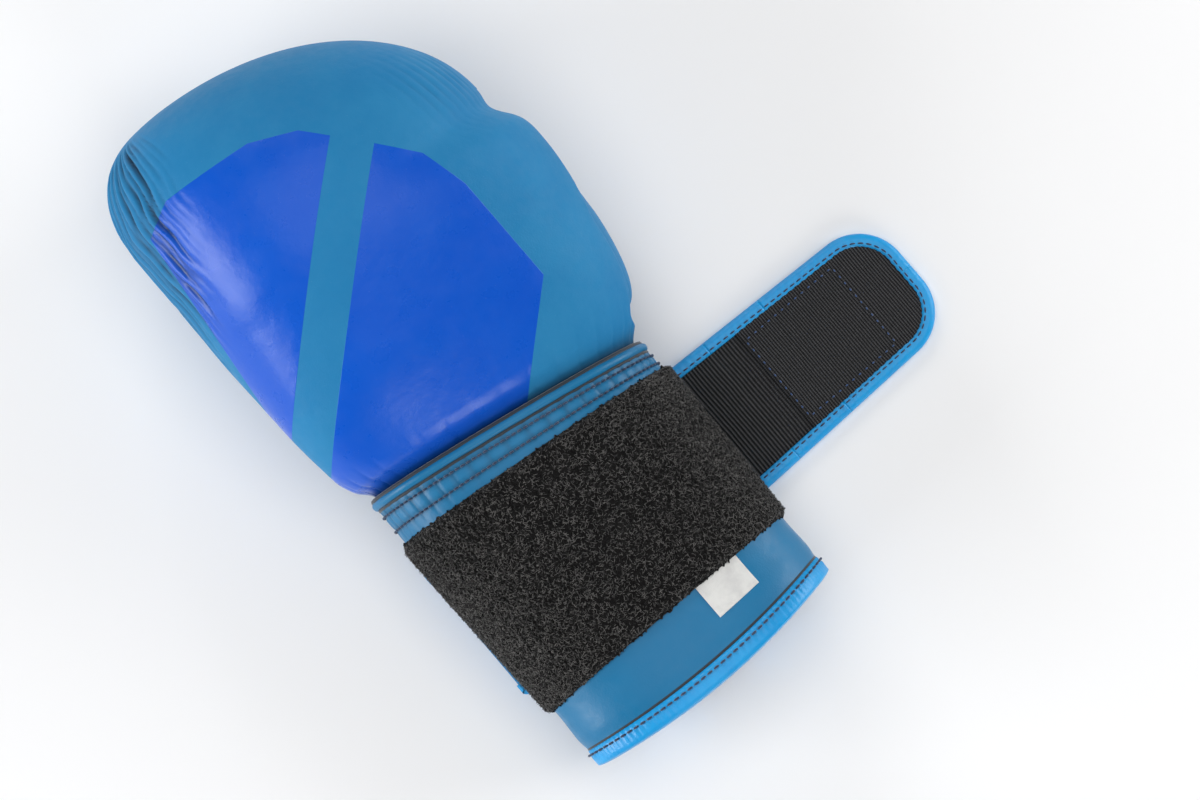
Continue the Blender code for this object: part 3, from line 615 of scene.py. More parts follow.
def print_edges():
    """The glossy panel's edges as straight cuts: (x, along) on each cut and its inward normal."""
    corners = (
        (-66 * MM, 92 * MM),
        (-60 * MM, 143 * MM),
        (-46 * MM, 149 * MM),
        (-8 * MM, 144 * MM),
        (10 * MM, 135 * MM),
        (41 * MM, 98 * MM),
        (46 * MM, 79 * MM),
        (47 * MM, 34 * MM),
        (8 * MM, -1 * MM),
    )
    cuts = []
    for (x0, a0), (x1, a1) in zip(corners, corners[1:]):
        length = math.hypot(x1 - x0, a1 - a0)
        cuts.append((x0, a0, (a1 - a0) / length, -(x1 - x0) / length))
    return cuts


def print_mask(n):
    """1 on the glossy panel: inside every cut, off the matte band and above the panel's lowest edge."""
    x, y, z = n.axes()
    inside = None
    for x0, a0, nx, ny in print_edges():
        level = x0 * nx + (a0 - REST_TO_WRIST) * ny
        reach = n.minus(n.plus(n.times(x, nx), n.times(y, ny)), level)
        inside = reach if inside is None else n.maths("MINIMUM", inside, reach)
    across = n.times(n.minus(x, BAND_X), -math.sin(BAND_SLOPE))
    across = n.plus(across, n.times(n.minus(y, BAND_Y), math.cos(BAND_SLOPE)))
    inside = n.maths("MINIMUM", inside, n.minus(n.maths("ABSOLUTE", across), BAND_HALF_WIDTH))
    lowest = n.ramp(x, 28 * MM, 40 * MM, 34 * MM, 68 * MM)
    inside = n.maths("MINIMUM", inside, n.minus(z, lowest))
    return n.ramp(inside, -0.00008, 0.00012)


def fist_look():
    """The fist's leather, with a glossy printed panel on its back that one plain matte band crosses."""
    n = Nodes("fist_leather_look")
    mask = print_mask(n)
    clouds = n.ramp(n.noise(26, 5, 0.6), 0.35, 0.72)
    scuffs = n.ramp(n.noise(170, 6, 0.7), 0.66, 0.80)
    specks = n.ramp(n.cells(420), 0.045, 0.028)
    matte = n.mix(n.times(clouds, 0.40), TEAL, TEAL_WORN)
    matte = n.mix(n.times(scuffs, 0.22), matte, (0.12, 0.34, 0.46))
    matte = n.mix(n.times(specks, 0.22), matte, (0.5, 0.6, 0.66))
    glossy = n.mix(n.times(n.ramp(n.noise(40, 4), 0.3, 0.8), 0.25), PRINT_BLUE, (0.0, 0.115, 0.62))
    glossy = n.mix(n.times(specks, 0.30), glossy, (0.5, 0.55, 0.75))
    colour = n.mix(mask, matte, glossy)
    # Painted shade: darker in the gathered folds, at the wrist seam and along the palm's panel seams
    colour = n.mix(n.times(n.crease(), 0.85), colour, CREASE_SHADE)
    matte_rough = n.ramp(n.noise(240, 4), 0.3, 0.75, 0.60, 0.72)
    glossy_rough = n.ramp(n.noise(120, 5), 0.35, 0.8, 0.27, 0.37)
    rough = n.times(n.minus(1.0, mask), matte_rough)
    rough = n.plus(n.times(mask, glossy_rough), rough)
    pores = n.times(n.pores(), n.ramp(mask, 0, 1, 1.0, 0.35))
    slack = n.relief(n.noise(75, 5), 0.0009, 0.4)
    edge = n.relief(mask, 0.00015, 0.6, slack)
    normal = n.relief(pores, 0.00012, 0.35, edge)
    return n.end(colour, rough, normal, Sheen_Weight=0.03, Sheen_Roughness=0.5, Specular_IOR_Level=0.33)


def rib_look(name, rib_pitch, shade):
    """Black woven elastic: close ribs across the strap, with fine picks in each and a little fuzz."""
    n = Nodes(name)
    x, y, _ = n.axes()
    sway = n.times(n.noise(45, 2), 0.9 * MM)
    rib = n.maths("SINE", n.times(n.plus(x, sway), 2 * math.pi / rib_pitch))
    pick = n.maths("SINE", n.times(y, 2 * math.pi / (0.8 * MM)))
    height = n.plus(rib, n.times(pick, 0.4))
    height = n.plus(height, n.times(n.noise(900, 3), 0.8))
    # Painted shade and light: the colour follows the ribs' height, near black in the valleys and grey on the
    # tops
    colour = n.mix(n.ramp(height, -1.0, 2.0), (0.0015, 0.0015, 0.002), (shade, shade, 1.05 * shade))
    fuzz = n.ramp(n.noise(2400, 2, 0.7), 0.62, 0.76)
    colour = n.mix(n.times(fuzz, 0.22), colour, (0.12, 0.12, 0.13))
    return n.end(colour, 0.75, n.relief(height, 0.0004, 1.0), Sheen_Weight=0.06, Specular_IOR_Level=0.25)


def loop_look():
    """Nylon loop pile: dark tangled fuzz with grey glints."""
    n = Nodes("loop_pile_look")
    tangle = n.noise(900, 6, 0.75)
    clumps = n.noise(230, 4, 0.65)
    glints = n.ramp(n.noise(2200, 3, 0.8), 0.58, 0.76)
    # Painted shade and light: the colour follows the pile's height, near black where it is low and dark grey
    # where it is high
    colour = n.mix(n.ramp(n.plus(tangle, clumps), 0.8, 1.35), (0.0006, 0.0006, 0.0007), (0.010, 0.0095, 0.0095))
    colour = n.mix(n.times(glints, 0.35), colour, (0.15, 0.145, 0.14))
    height = n.plus(n.times(tangle, 1.0), n.times(clumps, 1.1))
    normal = n.relief(height, 0.0012, 1.0)
    return n.end(colour, 0.95, normal, Sheen_Weight=0.10, Sheen_Roughness=0.4, Specular_IOR_Level=0.15)


def fibre_look():
    n = Nodes("loop_fibre_look")
    colour = n.mix(n.ramp(n.noise(700, 2), 0.3, 0.7), (0.001, 0.001, 0.001), (0.110, 0.105, 0.100))
    return n.end(colour, 0.45, None, Specular_IOR_Level=0.6)


def binding_look():
    n = Nodes("binding_look")
    shade = n.ramp(n.noise(120, 4, 0.6), 0.3, 0.75)
    colour = n.mix(n.times(shade, 0.4), BINDING_BLUE, (0.0, 0.39, 0.80))
    pucker = n.noise(330, 3)
    grain = n.relief(n.cells(1700, "SMOOTH_F1"), 0.0001, 0.3, n.relief(pucker, 0.0007, 0.45))
    rough = n.ramp(n.noise(200, 3), 0.3, 0.7, 0.34, 0.46)
    return n.end(colour, rough, grain, Coat_Weight=0.1)


def thread_look(name, colour):
    n = Nodes(name)
    twist = n.noise(1800, 2)
    shade = n.mix(twist, tuple(c * 0.6 for c in colour), tuple(min(c * 1.6 + 0.01, 1) for c in colour))
    return n.end(shade, 0.6, n.relief(twist, 0.0001, 0.5), Sheen_Weight=0.3)


def lining_look():
    n = Nodes("lining_look")
    x, y, z = n.axes()
    warp = n.maths("SINE", n.times(n.plus(x, z), 2 * math.pi / (0.9 * MM)))
    weft = n.maths("SINE", n.times(y, 2 * math.pi / (0.9 * MM)))
    weave = n.times(warp, weft)
    # Painted shade and light: the colour follows the weave's height, darker where it is low and lighter where
    # it is high
    colour = n.mix(n.ramp(weave, -1, 1), (0.006, 0.010, 0.018), (0.016, 0.026, 0.045))
    colour = n.mix(n.times(n.ramp(n.noise(60, 4), 0.4, 0.7), 0.3), colour, (0.03, 0.045, 0.07))
    normal = n.relief(weave, 0.0002, 0.5, n.relief(n.noise(60, 3), 0.002, 0.4))
    return n.end(colour, 0.75, normal, Sheen_Weight=0.3)


def label_look():
    """White woven satin, plain, with its weft showing."""
    n = Nodes("label_look")
    x, y, _ = n.axes()
    weft = n.maths("SINE", n.times(y, 2 * math.pi / (0.45 * MM)))
    warp = n.maths("SINE", n.times(x, 2 * math.pi / (0.35 * MM)))
    weave = n.plus(weft, n.times(warp, 0.5))
    colour = n.mix(n.ramp(n.noise(200, 3), 0.3, 0.8), WHITE, (0.68, 0.68, 0.67))
    return n.end(colour, 0.6, n.relief(weave, 0.00012, 0.5), Sheen_Weight=0.3)


def floor_look():
    n = Nodes("floor_look")
    colour = n.mix(n.ramp(n.noise(3, 3), 0.3, 0.7), (0.925, 0.925, 0.93), (0.945, 0.945, 0.95))
    return n.end(colour, 0.7, None)


# ---------------------------------------------------------------- the glove's pieces


def fist_grid(rows=300, columns=420):
    start = 1.2 * MM
    first = np.linspace(start, 0.8 * FIST_LENGTH, rows * 3 // 4, endpoint=False)
    turns = np.linspace(0, math.pi / 2, rows - len(first))
    last = first[-1] + (FIST_LENGTH - first[-1]) * np.sin(turns[1:])
    along = np.concatenate([first, last])[:, None]
    angle = around(columns)
    grid = fist_surface(along, angle)
    return grid, along, angle


def gathers(along, angle):
    """Leather gathered into folds at the little-finger corner, and small creases by the thumb's tip."""
    degrees = np.degrees(angle)
    drift = 0.9 * waves(along / FIST_LENGTH, 2.2, 3) + 0.5 * waves(along / FIST_LENGTH, 6, 4)
    phase = degrees / 360 * 84 + drift + 0.35 * waves(angle / 6.28 + along * 3, 9, 5)
    fold = 1 - np.abs(np.sin(math.pi * phase)) ** 0.7
    fold = 0.55 * fold + 0.45 * (1 - np.abs(np.sin(math.pi * (phase * 0.53 + 0.3 + 0.5 * drift))) ** 0.8)
    where = 1 - smoothstep(0.955 * FIST_LENGTH, 0.995 * FIST_LENGTH, along)
    where = smoothstep(84 * MM, 122 * MM, along) * where
    first = np.clip(114 + 0.5 * (150 - along / MM), 106, 146)
    where = where * smoothstep(0, 24, degrees - first) * (1 - smoothstep(196, 226, degrees))
    patchy = 0.6 + 0.4 * waves(along / FIST_LENGTH + angle, 3, 8)
    depth = -3.3 * MM * fold * where * patchy
    crease = 1 - np.abs(np.sin(math.pi * (degrees / 360 * 80 + 1.6 * waves(along * 8, 1.2, 11)))) ** 0.6
    near = bump(along, 118 * MM, 16 * MM) * smoothstep(8, 18, degrees) * (1 - smoothstep(38, 60, degrees))
    depth = depth - 0.55 * MM * crease * near
    ridge = bump(degrees, 176 + 8 * waves(along / FIST_LENGTH, 2, 2), 2.0) * smoothstep(80 * MM, 95 * MM, along)
    depth = depth - 1.3 * MM * ridge * (1 - smoothstep(120 * MM, 140 * MM, along))
    return depth


def seams(along, angle):
    """Shallow valleys in the leather where the palm's panels are sewn."""
    degrees = np.degrees(angle)
    per_degree = FIST_HALF_WIDTH * math.pi / 180
    depth = np.zeros(np.broadcast(along, angle).shape)
    before_end = 1 - smoothstep(FINGER_PANEL_END, FINGER_PANEL_END + 2 * MM, along)
    for side in PALM_PANEL_DEGREES:
        depth = depth + bump((degrees - side) * per_degree, 0, 0.9 * MM) * before_end
    low, high = PALM_PANEL_DEGREES
    between = smoothstep(-1, 1, degrees - low) * smoothstep(-1, 1, high - degrees)
    for end in (PALM_PANEL_END, FINGER_PANEL_END):
        depth = depth + bump(along, end, 0.9 * MM) * between
    return -0.9 * MM * depth


def softness(along, angle):
    """Broad uneven fullness of the stuffing, with slack by the wrist."""
    slow = waves(angle / 6.28 + 0.4 * along / FIST_LENGTH, 3, 21) * waves(along / FIST_LENGTH, 2.5, 22)
    pulls = 1 - np.abs(np.sin(math.pi * (np.degrees(angle) / 360 * 34 + 0.5 * waves(along * 6, 1, 31))))
    near_seam = bump(along, 6 * MM, 9 * MM) * (0.5 + 0.5 * waves(angle / 6.28, 7, 33))
    return 0.6 * MM * slow * smoothstep(0, 30 * MM, along) - 0.8 * MM * pulls**2 * np.clip(near_seam, 0, 1)


def make_fist(looks):
    grid, along, angle = fist_grid()
    normals = outward(grid)
    resting = smoothstep(0.0, 4 * MM, grid[..., 2])
    depth = (gathers(along, angle) + softness(along, angle)) * resting + seams(along, angle)
    tuck = 3.2 * MM * (1 - smoothstep(1.2 * MM, 11 * MM, along))
    grid = grid + normals * (depth - tuck)[..., None]
    grid[..., 2] = np.maximum(grid[..., 2], 0.0)
    # Painted shade for the material, from 0 to 1: in the gathered folds, at the wrist seam and along the panel
    # seams
    crease = np.clip(-gathers(along, angle) / (1.5 * MM), 0, 1) ** 1.4 + 1.3 * bump(along, 0, 4.4 * MM)
    crease = crease - seams(along, angle) / (1.4 * MM)
    made = skin("fist_leather", grid, looks["fist"], "glove", crease=crease)
    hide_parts("back_shell", "palm_shell", "finger_shell", "knuckle_foam", "palm_foam")
    for name, degrees, side in (("palm_stitch_finger_side", 216, -1), ("palm_stitch_thumb_side", 324, 1)):
        column = int(round((degrees + side * 2.6) / 360 * grid.shape[1])) % grid.shape[1]
        rows = [r for r in range(len(along)) if 6 * MM < along[r, 0] < FINGER_PANEL_END]
        stitches(name, grid[rows, column], normals[rows, column], looks["thread"], "glove")
    for name, end in (("palm_cross_stitch", PALM_PANEL_END), ("finger_cross_stitch", FINGER_PANEL_END)):
        row = int(np.argmin(np.abs(along[:, 0] - end - 3 * MM)))
        columns = [c for c in range(grid.shape[1]) if 222 < c * 360 / grid.shape[1] < 318]
        stitches(name, grid[row, columns], normals[row, columns], looks["thread"], "glove")


def make_thumb(looks):
    turns = np.linspace(0, math.pi, 90)
    middle, half = (THUMB_START + THUMB_TIP) / 2, (THUMB_TIP - THUMB_START) / 2
    along = (middle - half * np.cos(turns))[:, None]
    angle = around(140)
    grid = thumb_surface(along, angle)
    normals = outward(grid)
    degrees = np.degrees(angle)
    seam = bump(degrees, 62, 2.6) + bump(degrees, 300, 2.6)
    pulls = 1 - np.abs(np.sin(math.pi * (along / MM / 4.2 + 1.2 * waves(angle / 6.28, 2, 41))))
    beside = bump(degrees, 62, 14) + bump(degrees, 300, 14)
    depth = -0.9 * MM * seam - 0.45 * MM * pulls**2 * beside + 0.4 * MM * waves(angle / 6.28 + along * 9, 3, 42)
    ends = np.sin(turns)[:, None] ** 0.5
    grid = grid + normals * (depth * ends - 0.7 * MM)[..., None]
    made = skin("thumb_leather", grid, looks["leather"], "thumb")
    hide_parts("thumb_shell", "thumb_foam", "thumb_lining")
    rows = range(14, 78)
    for name, where in (("thumb_stitch_top", 56), ("thumb_stitch_under", 306)):
        column = int(round(where / 360 * grid.shape[1]))
        line, ups = grid[rows, column], normals[rows, column]
        stitches(name, line, ups, looks["thread"], "thumb", pitch=2.8 * MM)


def make_thumb_tie(looks):
    low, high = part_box("thumb_tie")
    x = np.linspace(low.x, high.x, 14)
    y = np.linspace(low.y, high.y, 12)
    sag = np.sin(np.linspace(0, math.pi, 14)) * 0.6 * MM
    height = np.linspace(high.z - 1.3 * MM, high.z, 14) - sag
    grid = joined(x[None, :], y[:, None], height[None, :])
    made = skin("thumb_tie_leather", grid, looks["leather"], "glove", False, 1.4 * MM)
    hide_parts("thumb_tie")
    for name, place in (("thumb_tie_stitch_rear", 1), ("thumb_tie_stitch_front", 10)):
        line = grid[place]
        stitches(name, line, upward(len(line)), looks["thread"], "glove", pitch=2.6 * MM)


def slit_half_angle():
    return SLIT_WIDTH / 2 / CUFF_END_HALF_WIDTH


def cuff_grid(depth, rows, columns, back=-CUFF_LENGTH, front=-1.0 * MM):
    """The cuff as an open sheet that runs from one edge of the slit round to the other."""
    half = slit_half_angle()
    along = np.linspace(back, front, rows)[:, None]
    start, end = -math.pi / 2 + half, 1.5 * math.pi - half
    close = smoothstep(-SLIT_END - 8 * MM, -SLIT_END + 4 * MM, along)
    start, end = start - half * close, end + half * close
    angle = start + (end - start) * np.linspace(0, 1, columns)[None, :]
    return cuff_surface(along, angle, depth), along, angle


def make_cuff(looks):
    grid, along, angle = cuff_grid(0.0, 120, 420)
    normals = outward(grid, wraps=False)
    degrees = np.degrees(angle)
    bulge = 0.5 * MM * waves(angle / 6.28, 3, 51) * waves(along * 9, 1, 52)
    pulls = (1 - np.abs(np.sin(math.pi * (degrees / 360 * 46 + 0.4 * waves(along * 20, 1, 53))))) ** 2
    depth = bulge - 0.55 * MM * pulls * bump(along, -7 * MM, 6 * MM)
    stitched = bump(along, -10.5 * MM, 0.9 * MM) + bump(along, -5 * MM, 0.8 * MM)
    depth = depth - 0.5 * MM * stitched - 0.8 * MM * bump(along, -0.5 * MM, 2 * MM)
    end_roll = smoothstep(-CUFF_LENGTH + 5 * MM, -CUFF_LENGTH + 14 * MM, along)
    depth = depth + 0.7 * MM * end_roll * bump(along, -CUFF_LENGTH + 14 * MM, 9 * MM)
    grid = grid + normals * depth[..., None]
    # Painted shade for the material: at the two stitch rows, at the wrist seam and in the pulls beside it
    crease = 0.55 * stitched + bump(along, 0, 2.6 * MM)
    crease = (crease + 0.35 * pulls * bump(along, -7 * MM, 5 * MM)) * np.ones_like(angle)
    made = skin("cuff_leather", grid, looks["cuff"], "glove", False, 1.2 * MM, crease)
    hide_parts("cuff_shell", "cuff_foam")
    sizes = {"pitch": 2.6 * MM, "length": 1.9 * MM, "radius": 0.45 * MM}
    for place, row in WELT_STITCH_ROWS:
        turns = np.linspace(0, 2 * math.pi, 500)[None, :]
        line = cuff_surface(np.array([[row]]), turns)[0]
        out = cuff_surface(np.array([[row]]), turns, -1 * MM)[0] - line
        made = stitches(f"welt_stitches_{place}", line, out, looks["thread"], "glove", **sizes)
        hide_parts(f"welt_thread_{place}")
    lining, _, _ = cuff_grid(CUFF_WALL, 60, 260, front=4 * MM)
    inner_normals = outward(lining, wraps=False)
    ripple = 0.5 * MM * waves(np.linspace(0, 1, 260)[None, :], 9, 54) * np.ones((60, 1))
    lining = lining - inner_normals * (ripple + 0.4 * MM)[..., None]
    made = skin("cuff_lining_cloth", lining, looks["lining"], "glove", False, 0.6 * MM)
    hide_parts("cuff_lining")


def make_pocket(looks):
    turns = np.linspace(0, math.pi / 2, 90)
    along = (POCKET_LENGTH * np.sin(turns))[:, None]
    grid = pocket_surface(along, around(200), 0.8 * MM)
    made = skin("hand_lining_cloth", grid, looks["lining"], "glove")
    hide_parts("hand_lining")
    low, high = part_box("grip_bar")
    centre, radius = (low + high) / 2, (high.z - low.z) / 2
    x = np.linspace(low.x, high.x, 70)
    ends = nose(np.abs(x - centre.x), (high.x - low.x) / 2 * 0.72, (high.x - low.x) / 2, 2.4)
    wrinkle = 1 + 0.03 * waves((x - low.x) / (high.x - low.x), 7, 61)
    path = joined(x, centre.y, centre.z)
    radii = radius * (0.25 + 0.72 * ends) * wrinkle
    bar = tube("grip_bar_leather", path, radii, 40, looks["leather"], "glove")
    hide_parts("grip_bar")


def channel_profile(width, wall, proud=1.0 * MM, points=9):
    """A folded tape over an edge in section, as (in from the edge, depth), from one face round to the other."""
    radius = (wall + 2 * proud) / 2
    outer = [(width * (1 - k / 4), -proud * (0.35 + 0.65 * min(1, k / 2))) for k in range(4)]
    bend = []
    for t in np.linspace(-math.pi / 2, math.pi / 2, points):
        bend.append((-0.9 * MM * math.cos(t), wall / 2 + radius * math.sin(t)))
    inner = [(width * (k / 4), wall + proud * (0.35 + 0.65 * min(1, (4 - k) / 2))) for k in range(1, 5)]
    return outer + bend + inner


def make_cuff_bindings(looks):
    wall = CUFF_WALL + 0.8 * MM
    half = slit_half_angle()
    angles = np.linspace(-math.pi / 2 + half, 1.5 * math.pi - half, 360)
    profile = channel_profile(CUFF_TAPE_WIDTH, wall)
    per_stitch = CUFF_END_HALF_WIDTH / TAPE_STITCH_PITCH * 2 * math.pi
    rows = []
    for inward, depth in profile:
        wobble = 0.18 * MM * np.sin(angles * per_stitch) * (1 if inward > 2 * MM else 0.3)
        rows.append(cuff_surface(np.full_like(angles, -CUFF_LENGTH) + inward, angles, depth + wobble))
    made = folded_tape("cuff_binding_tape", rows, looks["binding"], "glove")
    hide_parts("cuff_binding")
    line = cuff_surface(np.full_like(angles, -CUFF_LENGTH + 5.3 * MM), angles, -1.15 * MM)
    out = cuff_surface(np.full_like(angles, -CUFF_LENGTH + 5.3 * MM), angles, -2.15 * MM) - line
    sizes = {"pitch": TAPE_STITCH_PITCH, "radius": 0.5 * MM}
    stitches("cuff_binding_stitches", line, out, looks["thread"], "glove", **sizes)
    # Painted shade: a dark cord laid along the groove inboard of the tape
    groove = cuff_surface(np.full_like(angles, -CUFF_LENGTH + 7.9 * MM), angles, 0.1 * MM)
    tube("cuff_binding_groove_shade", groove, 0.75 * MM, 6, looks["dark"], "glove", squash=0.6)
    profile = channel_profile(SLIT_TAPE_WIDTH, wall)
    along = np.linspace(-CUFF_LENGTH + 7.4 * MM, -SLIT_END - 1 * MM, 80)
    for side, edge, way in (("thumb", -math.pi / 2 + half, 1), ("finger", 1.5 * math.pi - half, -1)):
        places = [(edge + way * inward / CUFF_END_HALF_WIDTH, depth) for inward, depth in profile]
        rows = [cuff_surface(along, angle, depth) for angle, depth in places]
        made = folded_tape(f"slit_binding_{side}_side_tape", rows, looks["binding"], "glove")
        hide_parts(f"slit_binding_{side}_side")


def make_welt(looks):
    turns = np.linspace(0, 2 * math.pi, 480, endpoint=False)
    line = cuff_surface(np.zeros_like(turns), turns, 0.9 * MM)
    out = cuff_surface(np.zeros_like(turns), turns, -0.8 * MM) - line
    radius = 1.9 * MM * (1 + 0.06 * waves(turns / 6.28, 23, 71))
    look, slot = looks["cuff"], "matte_leather"
    made = tube("wrist_welt_leather", line, radius, 14, look, "glove", closed=True, up=out)
    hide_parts("wrist_welt")
    # Painted shade: dark cords laid in the creases in front of and behind the welt
    for where, along, size in (("front", 2.0 * MM, 1.1 * MM), ("rear", -2.3 * MM, 0.9 * MM)):
        line = cuff_surface(np.full_like(turns, along), turns, 0.9 * MM)
        tube(f"welt_crease_shade_{where}", line, size, 8, looks["dark"], "glove", closed=True)


def make_patch(looks):
    first, last = (math.radians(d) for d in PATCH_DEGREES)
    back, front = PATCH_REAR, -PATCH_START
    rows, columns = 250, 520
    along = np.linspace(back, front, rows)[:, None]
    angle = np.linspace(first, last, columns)[None, :]
    ragged = 0.18 * MM * waves(angle / 6.28, 40, 81)
    along = along + ragged * np.linspace(-1, 1, rows)[:, None]
    base = cuff_surface(along, angle, -0.3 * MM)
    normals = outward(base, wraps=False)
    edge = np.minimum(along - back, front - along)
    sides = np.minimum(angle - first, last - angle) * CUFF_END_HALF_WIDTH
    height = PATCH_THICKNESS * (0.35 + 0.65 * smoothstep(0, 2.2 * MM, np.minimum(edge, sides)))
    tufts = rng.normal(0, 1, (rows, columns))
    tufts = (tufts + np.roll(tufts, 1, 0) + np.roll(tufts, 1, 1) + np.roll(np.roll(tufts, 1, 0), 1, 1)) / 2
    height = height + 0.20 * MM * tufts
    top = base + normals * height[..., None]
    pile = skin("loop_pile", top, looks["loop"], "glove", wraps=False, thickness=1.3 * MM)
    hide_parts("loop_patch")
    row_pick, column_pick = rng.integers(1, rows - 1, FIBRES), rng.integers(1, columns - 1, FIBRES)
    feet, ups = top[row_pick, column_pick], normals[row_pick, column_pick]
    verts, faces = [], []
    for foot, up in zip(feet, ups):
        lean = rng.normal(0, 1, 3)
        side = np.cross(up, lean)
        side /= max(np.linalg.norm(side), 1e-6)
        forward = np.cross(side, up)
        span, rise, wide = rng.uniform(0.8, 1.9) * MM, rng.uniform(0.25, 0.8) * MM, 0.09 * MM
        start = len(verts)
        for k in range(5):
            t = math.pi * k / 4
            place = foot - up * 0.15 * MM + forward * (-span / 2 * math.cos(t)) + up * (rise * math.sin(t))
            verts.append(place + side * wide)
            verts.append(place - side * wide)
        for k in range(4):
            a = start + 2 * k
            faces.append((a, a + 1, a + 3, a + 2))
    finish_mesh("loop_fibres", verts, faces, looks["fibre"], "glove")


def make_label(looks):
    front = PATCH_REAR + 0.3 * MM
    y = np.linspace(front - LABEL_LENGTH, front, 40)
    middle = math.acos((LABEL_OUT / CUFF_END_HALF_WIDTH) ** (BACK_ROUNDNESS / 2))
    spread = LABEL_WIDTH / 2 / CUFF_END_HALF_WIDTH
    angle = np.linspace(middle + spread, middle - spread, 60)
    lift = 0.45 * MM + 0.5 * MM * ((front - y) / LABEL_LENGTH)[:, None] ** 2
    lift = lift + 0.25 * MM * waves(np.linspace(0, 1, 60)[None, :], 1.3, 91)
    grid = cuff_surface(y[:, None], angle[None, :], -lift)
    grid = grid[:, ::-1]
    made = skin("size_label_cloth", grid, looks["label"], "glove", wraps=False, thickness=0.35 * MM)
    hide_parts("size_label")


# ---------------------------------------------------------------- the strap


def fold_xs():
    xs, x = [], STRAP_FOLD_X
    for length in STRAP_LENGTHS:
        xs.append(x)
        x += length
    return xs, x


def strap_half(x):
    share = np.clip((x - STRAP_FOLD_X) / sum(STRAP_LENGTHS), 0, 1)
    return (STRAP_ROOT_WIDTH + (STRAP_TIP_WIDTH - STRAP_ROOT_WIDTH) * share) / 2


def strap_half_at(x, inset):
    """Half the strap's width at x, with the rounded corners of its tip, for a layer inset from the edge."""
    _, tip = fold_xs()
    half = strap_half(x) - inset
    radius = STRAP_TIP_RADIUS - inset
    corner = tip - inset - radius
    over = np.clip((x - corner) / radius, 0, 1)
    return half - radius + radius * np.sqrt(np.maximum(1 - over**2, 0))


def under_cuff_line(lift, count=60):
    """The strap's fixed end in section: from the little-finger side round under the cuff, then flat."""
    along = -52.5 * MM + STRAP_ROOT_WIDTH / 2
    angles = np.linspace(math.radians(PATCH_DEGREES[1] + 4), 1.5 * math.pi, count)
    curve = cuff_surface(np.full_like(angles, along), angles, -(CUFF_FLOOR - lift))
    return curve[:, 0], curve[:, 2]


def strap_rows(start, end, lift, step=1.0 * MM):
    """(x, z) stations along the strap from start to end; a start of None begins at the fixed end's root."""
    if start is None:
        x0, z0 = under_cuff_line(lift)
        flat = np.arange(step, end, step)
        flat = np.append(flat, end)
        return np.concatenate([x0, flat]), np.concatenate([z0, np.full(len(flat), z0[-1])])
    xs = np.linspace(start, end, max(int((end - start) / step), 2) + 1)
    return xs, np.full(len(xs), lift)


def strap_layer(name, start, end, low, high, inset, look, slot, wave=0.0):
    """A flat layer of the strap between two heights, following its tip where it reaches it."""
    columns = 44
    share = np.linspace(-1, 1, columns)
    rings = []
    for lift in (high, low):
        xs, zs = strap_rows(start, end, lift)
        half = strap_half_at(xs, inset)[:, None]
        y = STRAP_Y + half * share[None, :]
        z = zs[:, None] + wave * np.cos(share * math.pi / 2)[None, :] * (1 if lift == high else 0.3)
        rings.append(joined(xs[:, None], y, z))
    top, under = rings
    rows = len(top)
    verts = np.concatenate([top.reshape(-1, 3), under.reshape(-1, 3)])
    faces = grid_faces(rows, columns, False) + grid_faces(rows, columns, False, rows * columns, flip=True)
    for border in grid_borders(rows, columns):
        faces += closing_faces(border, rows * columns)
    return finish_mesh(name, verts, faces, look, None)


def strap_edge_path(start, end, lift, side, step=0.8 * MM):
    """Points along one edge of the strap; at the tip they run on round its corner."""
    _, tip = fold_xs()
    if end < tip - 1e-6:
        xs, zs = strap_rows(start, end, lift, step)
        return np.stack([xs, STRAP_Y + side * strap_half(xs), zs], axis=1)
    corner = tip - STRAP_TIP_RADIUS
    xs, zs = strap_rows(start, corner, lift, step)
    straight = np.stack([xs, STRAP_Y + side * strap_half(xs), zs], axis=1)
    half = float(strap_half(corner))
    turns = np.linspace(0, math.pi / 2, 30)[1:]
    arc_x = corner + STRAP_TIP_RADIUS * np.sin(turns)
    arc_y = STRAP_Y + side * (half - STRAP_TIP_RADIUS + STRAP_TIP_RADIUS * np.cos(turns))
    return np.concatenate([straight, joined(arc_x, arc_y, lift)])


def binding_section():
    """The folded tape in section as (in from the edge, height), round the strap's edge."""
    wide, top, inner = STRAP_TAPE_WIDTH, STRAP_TOP, 2.5 * MM
    middle, radius = top / 2, top / 2
    under = [(wide * (1 - k / 4), 0.05 * MM) for k in range(4)]
    bend = [(radius - radius * math.cos(t), middle + radius * math.sin(t)) for t in np.linspace(-1.45, 1.45, 9)]
    over = [(inner + (wide - inner) * k / 4, top - 0.1 * MM * (k / 4) ** 2) for k in range(4)]
    return under + bend + over + [(wide, top - 0.6 * MM)]


def inward_of(path, side):
    """Level directions from the strap's edge in towards its middle, one for each point of the edge."""
    ahead = np.gradient(path, axis=0)
    ahead /= np.linalg.norm(ahead, axis=1, keepdims=True)
    return joined(ahead[:, 1], -ahead[:, 0], 0.0) * side


def to_middle(path, side):
    """The path, run on from its last point to the strap's middle line."""
    last = path[-1]
    span = abs(last[1] - STRAP_Y)
    return np.concatenate([path, [last + np.array((0, -side * span * k / 12, 0)) for k in range(1, 13)]])


def beside_edge(end, height, across, side, step):
    """A line along the strap from its fixed end's root, a distance in from its edge."""
    xs, zs = strap_rows(None, end, height, step)
    return joined(xs, STRAP_Y + side * (strap_half(xs) - across), zs)


